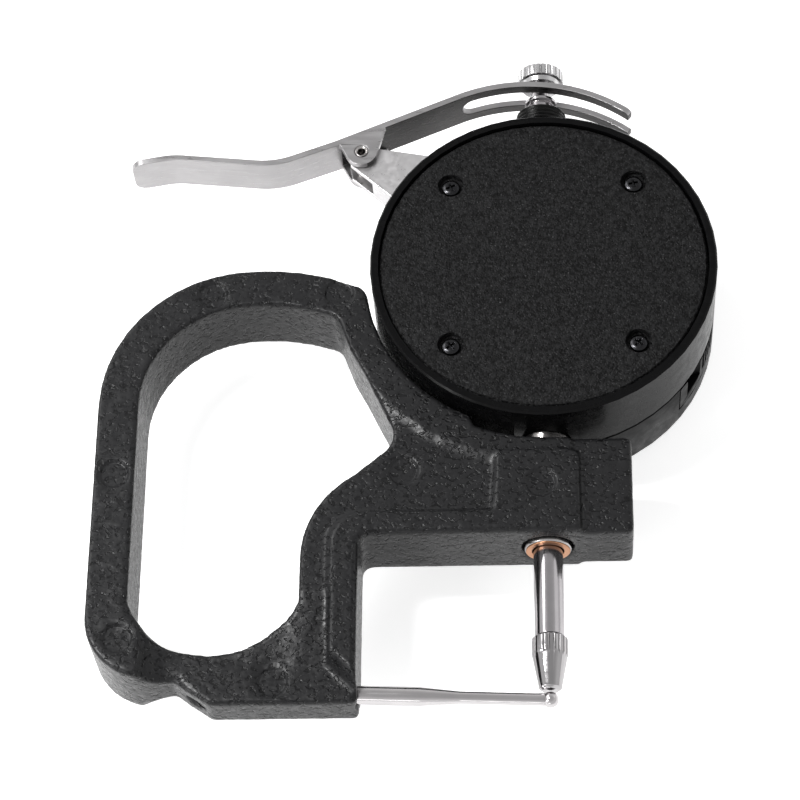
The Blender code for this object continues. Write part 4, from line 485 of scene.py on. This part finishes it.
nodeFinish = {
    "frame": "paint", "anvil_pin": "anvil", "stem_grub_screw": "screw", "stem": "stem", "stem_bush": "bronze",
    "upper_stem": "sleeve", "spindle": "spindle", "contact_point": "contact", "lift_cap": "chrome",
    "slider_block": "brass", "scale_strip": "board", "reader_board": "board", "guide_rod": "spindle",
    "return_spring": "nickel", "rear_shell": "case", "front_shell": "frontCase", "back_cover": "cover",
    "cover_screw_1": "screw", "cover_screw_2": "screw", "cover_screw_3": "screw", "cover_screw_4": "screw",
    "display_lens": "window", "lcd_panel": "display", "circuit_board": "board", "button_zero": "rubber",
    "button_unit": "rubber", "button_power": "rubber", "battery_drawer": "frontCase", "button_cell": "nickel",
    "battery_contact": "nickel", "lever": "lever", "lever_pin": "stem", "lever_bracket": "bracket",
    "bracket_screw_1": "screw", "bracket_screw_2": "screw",
}
for nodeName, finishName in nodeFinish.items():
    dress(nodeName, finishes[finishName])

# ---- the casting: rounded all over, hammered, with soft marks where its ejector pins stood

casting = {
    "thickness": 13.7,
    "footThickness": 7.4,
    "voxel": 0.38,
    "smoothings": 4,
    # the anvil's hole is filled before the skin is drawn: radius and both ends
    "plug": (1.75, -43.9, -32.2),
    "solidRamp": (-68.0, 1.6),
    "heelRamp": (-68.7, -63.2),
    "heelReach": (-70.5, -60.5),
    "heelSmoothReach": (-71, -60),
    "heelTop": -60,
    "heelSmoothings": 14,
    # a lift starts, is full, is still full and ends at these places
    "floorLift": 1.4,
    "floorAcross": (-69.5, -57, -46, -40),
    "floorUp": (-77.5, -73, -62, -56),
    "footLift": 0.45,
    "footAcross": (-66, -58, -30, -28),
    "footUp": (-78, -72),
    "ripple": 0.035,
    "rippleScales": (0.55, 1.3),
    "rippleShare": 0.6,
}

ejectorMark = {
    "radius": 2.8,
    "depth": 0.48,
    "wall": 0.55,
    "floorEdge": 0.5,
    "overrun": 0.6,
    # each as x, y and the casting's thickness there
    "places": [
        (-73.0, -38.0, 13.7), (-70.8, -68.3, 13.7), (-45.4, -75.0, 7.4), (-24.1, -38.1, 12.7),
        (-1.0, -41.1, 14.4), (-35.5, -3.5, 13.7), (-57.5, -3.5, 13.7),
    ],
}


def easedStep(value, low, high):
    t = min(1.0, max(0.0, (value - low) / (high - low)))
    return t * t * (3 - 2 * t)


def easedHill(value, low, full, stillFull, high):
    return easedStep(value, low, full) * (1 - easedStep(value, stillFull, high))


def shapeCasting(bm):
    # the heel runs down to the foot in one long curve, and the loop's floor and the foot come up a little
    thick, fall = casting["thickness"], casting["footThickness"] - casting["thickness"]
    rampStart, rampLength = casting["solidRamp"]
    left, right = casting["heelReach"]
    for vert in bm.verts:
        x, y, z = vert.co
        if left < x < right and y < casting["heelTop"]:
            was = thick + fall * min(1.0, max(0.0, (x - rampStart) / rampLength))
            wanted = thick + fall * easedStep(x, *casting["heelRamp"])
            vert.co.z = spindleHeight + (z - spindleHeight) * wanted / was
        lift = casting["floorLift"] * easedHill(x, *casting["floorAcross"]) * easedHill(y, *casting["floorUp"])
        lift += casting["footLift"] * easedHill(x, *casting["footAcross"]) * (1 - easedStep(y, *casting["footUp"]))
        vert.co.y = y + lift
    left, right = casting["heelSmoothReach"]
    heel = [vert for vert in bm.verts if left < vert.co.x < right and vert.co.y < casting["heelTop"]]
    for _ in range(casting["heelSmoothings"]):
        bmesh.ops.smooth_vert(bm, verts=heel, factor=0.5, use_axis_x=False, use_axis_y=False, use_axis_z=True)


def markStamp(x, y, face, side):
    r, floor = ejectorMark["radius"], face - side * ejectorMark["depth"]
    past = ejectorMark["overrun"]
    outline = soften([(0, floor, 0), (r - ejectorMark["wall"], floor, ejectorMark["floorEdge"]), (r, face, 0),
                      (r + past, face + side * past, 0), (0, face + side * past, 0)], 4)
    return lathe(outline, 48, "Z", (x, y, spindleHeight))


def makeCasting():
    plugRadius, plugStart, plugEnd = casting["plug"]
    plug = lathe([(0, plugStart), (plugRadius, plugStart), (plugRadius, plugEnd), (0, plugEnd)], 24,
                 "X", (0, anvilLine, spindleHeight))
    block = asObject(carve(fromNode("frame"), plug, kind="UNION"), "castingBlock")
    skin = block.modifiers.new("skin", "REMESH")
    skin.mode = "VOXEL"
    skin.voxel_size = casting["voxel"]
    bm = settled(block)
    for _ in range(casting["smoothings"]):
        bmesh.ops.smooth_vert(bm, verts=bm.verts, factor=0.5, use_axis_x=True, use_axis_y=True, use_axis_z=True)
    shapeCasting(bm)
    print("casting has", len(bm.faces), "faces")
    stamps = [markStamp(x, y, side * thickness / 2, side) for x, y, thickness in ejectorMark["places"]
              for side in (1, -1)]
    bm = carve(bm, *stamps)
    coarse, fine = casting["rippleScales"]
    for vert in bm.verts:
        wave = mathNoise.noise(vert.co * coarse) + casting["rippleShare"] * mathNoise.noise(vert.co * fine)
        vert.co += vert.normal * wave * casting["ripple"]
    print("casting has", len(bm.faces), "faces with its marks")
    pieceFrom(bm, "castFrame", "gauge_body", finishes["paint"], stands="frame", smoothAngle=60)


makeCasting()

# ---- turned, pressed and moulded pieces with their edges broken

edgeWidths = {
    "rear_shell": 0.16, "front_shell": 0.18, "battery_drawer": 0.12, "back_cover": 0.22, "stem": 0.10,
    "upper_stem": 0.05, "spindle": 0.10, "lever_bracket": 0.12, "bracket_screw_1": 0.08,
    "bracket_screw_2": 0.08, "button_zero": 0.10, "button_unit": 0.10, "button_power": 0.10,
}
for nodeName, width in edgeWidths.items():
    refined(nodeName, nodeFinish[nodeName], width)
print("edges broken on", len(edgeWidths), "pieces")

# ---- cross-head screws, sunk in the cover

coverScrew = {
    "seat": 24.4,
    "top": 25.22,
    "headRadius": 1.62,
    "shankRadius": 0.9,
    "length": 5.8,
    "cross": (1.0, 0.1575),
    "crossDepth": 0.62,
    "crossOverrun": 0.3,
    # the cross widens to its roof and narrows to its floor
    "roofSpread": (1.12, 1.6, 1),
    "floorSpread": (0.45, 0.8, 1),
    "turnBetween": 12,
    "edge": 0.05,
}


def crossArm(x, y, angle):
    reach, half = coverScrew["cross"]
    deep, past = coverScrew["crossDepth"], coverScrew["crossOverrun"]
    slot = plate([(-reach, -half), (reach, -half), (reach, half), (-reach, half)], 0, deep + past)
    roof = [vert for vert in slot.verts if vert.co.z > deep / 2]
    floor = [vert for vert in slot.verts if vert.co.z < deep / 2]
    bmesh.ops.scale(slot, vec=coverScrew["roofSpread"], verts=roof)
    bmesh.ops.scale(slot, vec=coverScrew["floorSpread"], verts=floor)
    bmesh.ops.rotate(slot, matrix=Matrix.Rotation(math.radians(angle), 3, "Z"), verts=slot.verts)
    bmesh.ops.translate(slot, vec=(x, y, coverScrew["top"] - deep), verts=slot.verts)
    return slot


def makeCoverScrew(index):
    nodeName = "cover_screw_%d" % index
    low, high = headBox(nodeName)
    x, y = ((low + high) / 2).xy
    seat, top, r, shank = (coverScrew[key] for key in ("seat", "top", "headRadius", "shankRadius"))
    end = seat - coverScrew["length"]
    profile = soften([(0, end, 0), (shank, end, 0.2), (shank, seat, 0), (r, seat, 0.06), (r, top - 0.34, 0.3),
                      (r * 0.62, top - 0.03, 1.5), (0, top, 0)], 5)
    arms = [crossArm(x, y, across + coverScrew["turnBetween"] * index) for across in (0, 90)]
    pieceFrom(carve(lathe(profile, 48, "Z", (x, y, 0)), *arms), "coverScrew%d" % index, "gauge_body",
              finishes["screw"], stands=nodeName, bevel=(coverScrew["edge"], 2, False))


for index in range(1, 5):
    makeCoverScrew(index)

# ---- fixed anvil, stem bush, contact point and lift cap

anvilPin = {
    "tilt": 2.3,
    "profile": [(0, -43.3, 0), (1.55, -43.3, 0.1), (1.55, -21.3, 2.5), (1.05, -14.8, 2.5), (1.05, -0.9, 0.4)],
    "ballRadius": 1.35,
    "neckRadius": 1.0,
}


def makeAnvil():
    ball = anvilPin["ballRadius"]
    neck = math.degrees(math.asin(anvilPin["neckRadius"] / ball))
    outline = soften(anvilPin["profile"], 8) + sweepArc((0, 0), ball, -90 + neck, 90, 22)
    outline[-1].x = 0
    bm = lathe(outline, 64, "X")
    bmesh.ops.rotate(bm, matrix=Matrix.Rotation(math.radians(-anvilPin["tilt"]), 3, "Z"), verts=bm.verts)
    bmesh.ops.translate(bm, vec=(0, anvilLine, spindleHeight), verts=bm.verts)
    pieceFrom(bm, "anvilPin", "gauge_body", finishes["anvil"], stands="anvil_pin")


bush = {
    "inner": 2.68,
    "outer": 3.3,
    "lip": 3.74,
    "lipEdge": 0.12,
    "stemEnd": -50.4,
    "lipBack": -50.41,
    "lipHeight": 0.2,
    "length": 12.0,
}


def makeBush():
    inner, outer, lip, corner = (bush[key] for key in ("inner", "outer", "lip", "lipEdge"))
    front, back = bush["stemEnd"] - bush["lipHeight"], bush["stemEnd"] + bush["length"]
    outline = soften([(inner, back, 0), (inner, front, corner), (lip, front, corner), (lip, bush["lipBack"], 0),
                      (outer, bush["lipBack"], 0), (outer, back, 0)], 4)
    bm = lathe(outline, 72, "Y", (0, 0, spindleHeight))
    pieceFrom(bm, "bronzeBush", "gauge_body", finishes["bronze"], stands="stem_bush")


# one knurl: share of the way round, share of the depth
knurlShape = [(0.0, 0.0), (0.16, 0.0), (0.34, 0.12), (0.44, 0.72), (0.58, 1.0), (0.72, 0.72), (0.82, 0.12)]

contactPoint = {
    "base": -75.75,
    "barRadius": 3.07,
    "barEnds": (-1.0, 10.0),
    "segments": 84,
    "knurls": 21,
    "knurlDepth": 0.24,
    "profile": [(0, 0, 0), (1.3, 0, 0.08), (1.9, 0.4, 0.15), (2.92, 6.0, 0.25), (3.05, 6.25, 0.1), (3.05, 9.0, 0.1),
                (2.72, 9.3, 0.08), (0, 9.3, 0)],
}

liftCap = {
    "base": 42.8,
    "barRadius": 4.22,
    "barEnds": (-1.0, 5.0),
    "segments": 104,
    "knurls": 26,
    "knurlDepth": 0.26,
    "profile": [(0, 0, 0), (3.3, 0, 0.1), (3.5, 0.8, 0.1), (4.1, 0.86, 0.1), (4.2, 1.05, 0.1), (4.2, 2.9, 0.12),
                (3.7, 3.2, 0.12), (0, 3.2, 0)],
}


def makeKnurled(turned, name, finishName, nodeName):
    # what the turned shape and a grooved bar have in common
    place = (0, turned["base"], spindleHeight)
    smooth = lathe(soften(turned["profile"], 4), turned["segments"], "Y", place)
    outline = []
    for k in range(turned["knurls"]):
        for along, cut in knurlShape:
            angle = 2 * math.pi * (k + along) / turned["knurls"]
            reach = turned["barRadius"] - turned["knurlDepth"] * cut
            outline.append((reach * math.cos(angle), reach * math.sin(angle)))
    bar = plate(outline, *turned["barEnds"], "Y", place)
    pieceFrom(carve(smooth, bar, kind="INTERSECT"), name, "plunger", finishes[finishName], stands=nodeName,
              smoothAngle=30)


makeAnvil()
makeBush()
makeKnurled(contactPoint, "contactPoint", "contact", "contact_point")
makeKnurled(liftCap, "liftCap", "chrome", "lift_cap")
print("anvil, bush, contact point and cap made")

# ---- pressed lever with its ears, fork and thumb pad, and the hollow rivet

lever = {
    "width": 8.0,
    "sheet": 1.15,
    "forkCentre": (-3.0, 11.1),
    "forkRadius": 30.8,
    "forkAngles": (51.0, 113.3),
    "armLength": 24.0,
    "padDip": (-48.0, 25.9),
    "padCrest": (-66.5, 27.9),
    "padTip": (-74.0, 26.6),
    "bends": (28.0, 14.0),
    "slotWidth": 3.9,
    "slotStart": -14.2,
    "slotEnd": 30,
    "slotHeights": (15, 50),
    "padCorner": 2.2,
    "tineCorner": 0.9,
    "pivot": (-32.3, 27.6),
    "earRadius": 2.85,
    "earTop": ((-36.5, 29.6), (-27.9, 33.1)),
    "earHole": 1.25,
    "earHoleReach": 6,
    "edge": 0.14,
}


def leverPath():
    centre, r = lever["forkCentre"], lever["forkRadius"]
    fork = sweepArc(centre, r, *lever["forkAngles"], 42)
    turn = math.radians(lever["forkAngles"][1])
    bend = fork[-1] + Vector((-math.sin(turn), math.cos(turn))) * lever["armLength"]
    rest = soften([(*fork[-1], 0), (*bend, lever["bends"][0]), (*lever["padDip"], lever["bends"][1]),
                   (*lever["padCrest"], lever["bends"][1]), (*lever["padTip"], 0)], 10)
    return fork[:-1] + rest


def withCorner(path, corner):
    # points are added where the round corner at the path's first end needs them
    run = (path[1] - path[0]).normalized()
    added = [path[0] + run * corner * (1 - math.cos(math.pi / 8 * k)) for k in range(5)]
    return added + [point for point in path if (point - path[0]).length > corner + 0.1]


def leverBand(path, sheet, low, high):
    # the path's line is drawn down into a strip of the sheet's thickness, then across to the lever's width
    path = withCorner(path, lever["tineCorner"])
    path = withCorner(path[::-1], lever["padCorner"])[::-1]

    def nearest(vert):
        return min(range(len(path)), key=lambda k: (vert.co.xy - path[k]).length)

    def inset(point):
        for end, corner in ((path[0], lever["tineCorner"]), (path[-1], lever["padCorner"])):
            gone = corner - (point - end).length
            if gone > 0:
                return corner - math.sqrt(corner * corner - gone * gone)
        return 0.0

    bm = bmesh.new()
    verts = [bm.verts.new((point.x, point.y, low)) for point in path]
    edges = [bm.edges.new(pair) for pair in zip(verts, verts[1:])]
    grown = bmesh.ops.extrude_edge_only(bm, edges=edges)
    for vert in vertsOf(grown):
        i = nearest(vert)
        run = (path[min(i + 1, len(path) - 1)] - path[max(i - 1, 0)]).normalized()
        vert.co += Vector((-run.y, run.x, 0)) * sheet
    grown = bmesh.ops.extrude_face_region(bm, geom=list(bm.faces))
    bmesh.ops.translate(bm, vec=(0, 0, high - low), verts=vertsOf(grown))
    middle = (low + high) / 2
    for vert in bm.verts:
        shift = inset(path[nearest(vert)])
        vert.co.z += shift if vert.co.z < middle else -shift
    bmesh.ops.recalc_face_normals(bm, faces=bm.faces)
    return bm


def earOutline():
    pivot, r = Vector(lever["pivot"]), lever["earRadius"]
    left, right = (Vector(p) for p in lever["earTop"])
    outline = [right, left]
    # round the pin from one straight side to the other
    angles = []
    for corner, turn in ((left, 1), (right, -1)):
        toCorner = corner - pivot
        angles.append(math.atan2(toCorner.y, toCorner.x) + turn * math.acos(r / toCorner.length))
    start, end = angles[0] % (2 * math.pi), angles[1] % (2 * math.pi)
    if end < start:
        end += 2 * math.pi
    return outline + sweepArc(pivot, r, math.degrees(start), math.degrees(end), 26)


def makeLever():
    half, sheet, high = lever["width"] / 2, lever["sheet"], spindleHeight
    bm = leverBand(leverPath(), sheet, high - half, high + half)
    ears = [plate(earOutline(), high + low, high + top) for low, top in ((half - sheet, half), (-half, sheet - half))]
    bm = carve(bm, *ears, kind="UNION")
    slotHalf = lever["slotWidth"] / 2
    slot = [(lever["slotEnd"], -slotHalf), (lever["slotEnd"], slotHalf)]
    slot += sweepArc((lever["slotStart"] + slotHalf, 0), slotHalf, 90, 270, 14)
    slotTool = plate(slot, *lever["slotHeights"], "Y", (0, 0, high))
    r, reach = lever["earHole"], lever["earHoleReach"]
    holeTool = lathe([(0, -reach), (r, -reach), (r, reach), (0, reach)], 40, "Z", (*lever["pivot"], high))
    bm = carve(bm, slotTool, holeTool)
    bmesh.ops.remove_doubles(bm, verts=bm.verts, dist=joined["lever"])
    piece = pieceFrom(bm, "thumbLever", "thumb_lever", finishes["lever"], stands="lever",
                      bevel=(lever["edge"], 2, False))
    # the underside of the arm is left dull from the press
    # the downward faces of the arm get a dark copy of the lever's steel: painted shade on the underside
    piece.data.materials.append(finishes["leverUnderShade"])
    for face in piece.data.polygons:
        middle = headPlace.inverted() @ face.center
        arm = middle.x > lever["pivot"][0] + 1
        if face.normal.y < -0.3 and arm and abs(face.normal.z) < 0.2:
            face.material_index = 1


rivet = {"bore": 0.62, "shank": 1.05, "head": 1.42, "reach": 4.18}


def makeRivet():
    end, head = rivet["reach"], rivet["head"]
    half = [(rivet["bore"], 0, 0), (rivet["bore"] + 0.02, end - 0.35, 0.3), (head - 0.35, end + 0.05, 0.12),
            (head - 0.2, end - 0.25, 0.1), (rivet["shank"], end - 0.6, 0.1), (rivet["shank"], 0, 0)]
    upper = soften(half, 4)
    lower = [Vector((p.x, -p.y)) for p in upper[::-1]]
    bm = lathe(upper + lower[1:-1], 48, "Z", (*lever["pivot"], spindleHeight))
    pieceFrom(bm, "hollowRivet", "gauge_body", finishes["stem"], stands="lever_pin", smoothAngle=50)


makeLever()
makeRivet()
print("lever and rivet made")

# ---- display side: digits on the panel and plain words by the keys

display = {
    "digits": ("0.00", 9.5, (1.5, 1.4)),
    "unit": ("mm", 2.8, (-14.6, 1.6)),
    "keyWords": {"button_zero": "ZERO", "button_unit": "mm/in", "button_power": "ON/OFF"},
    "wordSize": 2.2,
    "wordRise": 4.6,
    "inkHeight": 0.03,
    "inkGap": 0.005,
    "faceInset": 0.9,
}


def makeWords(name, words, size, x, y, surface, material):
    # letters that are read from below, drawn flat and given the thickness of ink
    letters = bpy.data.curves.new(name, "FONT")
    letters.body = words
    letters.size = size
    letters.align_x = "CENTER"
    letters.extrude = display["inkHeight"] / 2
    letters.resolution_u = 3
    bm = settled(putInScene(name + "Drawn", letters))
    bmesh.ops.remove_doubles(bm, verts=bm.verts, dist=joined["letters"])
    spot = Matrix.Translation((x, y, surface - display["inkGap"] - display["inkHeight"] / 2))
    bmesh.ops.transform(bm, matrix=spot @ Matrix.Rotation(math.pi, 4, "Y"), verts=bm.verts)
    bmesh.ops.recalc_face_normals(bm, faces=bm.faces)
    pieceFrom(bm, name, "gauge_body", material, smoothAngle=20)


def makeDisplay():
    panelFace = headBox("lcd_panel")[0].z
    for name in ("digits", "unit"):
        words, size, place = display[name]
        makeWords("panel" + name.capitalize(), words, size, *place, panelFace, finishes["ink"])
    caseFace = headBox("front_shell")[0].z + display["faceInset"]
    for nodeName, words in display["keyWords"].items():
        low, high = headBox(nodeName)
        middle = (low + high) / 2
        makeWords(nodeName + "Word", words, display["wordSize"], middle.x, middle.y + display["wordRise"],
                  caseFace, finishes["print"])


makeDisplay()
print("display side lettered")

# ---- camera, floor and light

viewpoint = {
    "place": (24.866, -242.44, 455.02),
    "roll": -0.605,
    "tilt": -28.385,
    "lean": -3.483,
    "lens": 130.37,
    "nearest": 0.01,
    "farthest": 10,
}


def makeCamera():
    data = bpy.data.cameras.new("photoCamera")
    data.lens = viewpoint["lens"]
    data.sensor_width = 36
    data.clip_start, data.clip_end = viewpoint["nearest"], viewpoint["farthest"]
    camera = putInScene("photoCamera", data)
    turn = Matrix.Rotation(math.radians(viewpoint["roll"]), 3, "Z")
    turn = turn @ Matrix.Rotation(math.radians(viewpoint["tilt"]), 3, "X")
    turn = turn @ Matrix.Rotation(math.radians(viewpoint["lean"]), 3, "Y")
    camera.matrix_world = Matrix.Translation(Vector(viewpoint["place"]) * mm) @ turn.transposed().to_4x4()
    bpy.context.scene.camera = camera


studio = {
    "floorColor": (0.80, 0.80, 0.80),
    "floorGlow": 0.74,
    "floorHalf": 3,
    "floorDrop": 0.02,
    "worldLight": 0.50,
    # the walls are white and the ceiling above is darker, as in a room with a white backdrop
    "ceiling": 0.62,
    "ceilingEdges": (0.45, 0.97),
    "lampTarget": (-20, -15, 10),
    "lamps": [
        # name, place in mm, width and height in mm, watts
        ("leftKey", (-430, -330, 330), (120, 320), 1.5),
        ("topStrip", (-290, 25, 540), (60, 200), 3.0),
        ("backLeft", (-360, 325, 434), (220, 220), 0.9),
        ("rightFill", (480, 260, 300), (300, 300), 0.10),
        ("frontLow", (-140, -600, 150), (300, 80), 0.22),
    ],
}


def seenPlainly(material):
    # 1 for rays that come from the camera or by way of a shiny surface
    rays = addNode(material, "ShaderNodeLightPath")
    return rays, sums(material, rays.outputs["Is Camera Ray"], rays.outputs["Is Glossy Ray"], "MAXIMUM")


def makeFloor():
    bm = bmesh.new()
    bmesh.ops.create_grid(bm, x_segments=1, y_segments=1, size=studio["floorHalf"])
    bmesh.ops.translate(bm, vec=(0, 0, -studio["floorDrop"] * mm), verts=bm.verts)
    floor = asObject(bm, "floor")
    pale = newFinish("paleFloor", studio["floorColor"], 0.8)
    shader = pale.node_tree.nodes["Principled BSDF"]
    shader.inputs["Emission Color"].default_value = (1, 1, 1, 1)
    rays, seen = seenPlainly(pale)
    seen = sums(pale, seen, rays.outputs["Is Transmission Ray"], "MAXIMUM")
    join(pale, sums(pale, seen, studio["floorGlow"], "MULTIPLY"), shader.inputs["Emission Strength"])
    floor.data.materials.append(pale)


def makeWorld():
    world = bpy.data.worlds.new("studio")
    bpy.context.scene.world = world
    world.use_nodes = True
    background = world.node_tree.nodes["Background"]
    level = spread(world, seenPlainly(world)[1], 0, 1, studio["worldLight"], 1.0, False)
    parts = addNode(world, "ShaderNodeSeparateXYZ")
    join(world, addNode(world, "ShaderNodeTexCoord").outputs["Generated"], parts.inputs["Vector"])
    ceiling = spread(world, parts.outputs["Z"], *studio["ceilingEdges"], 1.0, studio["ceiling"])
    join(world, sums(world, level, ceiling, "MULTIPLY"), background.inputs["Strength"])
    background.inputs["Color"].default_value = (1, 1, 1, 1)


def makeLamps():
    centre = headPlace @ Vector(studio["lampTarget"])
    for name, place, (width, height), watts in studio["lamps"]:
        lamp = bpy.data.lights.new(name, "AREA")
        lamp.shape = "RECTANGLE"
        lamp.size, lamp.size_y = width * mm, height * mm
        lamp.energy = watts
        holder = putInScene(name, lamp)
        holder.location = Vector(place) * mm
        holder.rotation_euler = (centre - holder.location).to_track_quat("-Z", "Y").to_euler()


makeCamera()
makeFloor()
makeWorld()
makeLamps()
bpy.context.scene.view_settings.view_transform = "Standard"
print("camera and studio made")
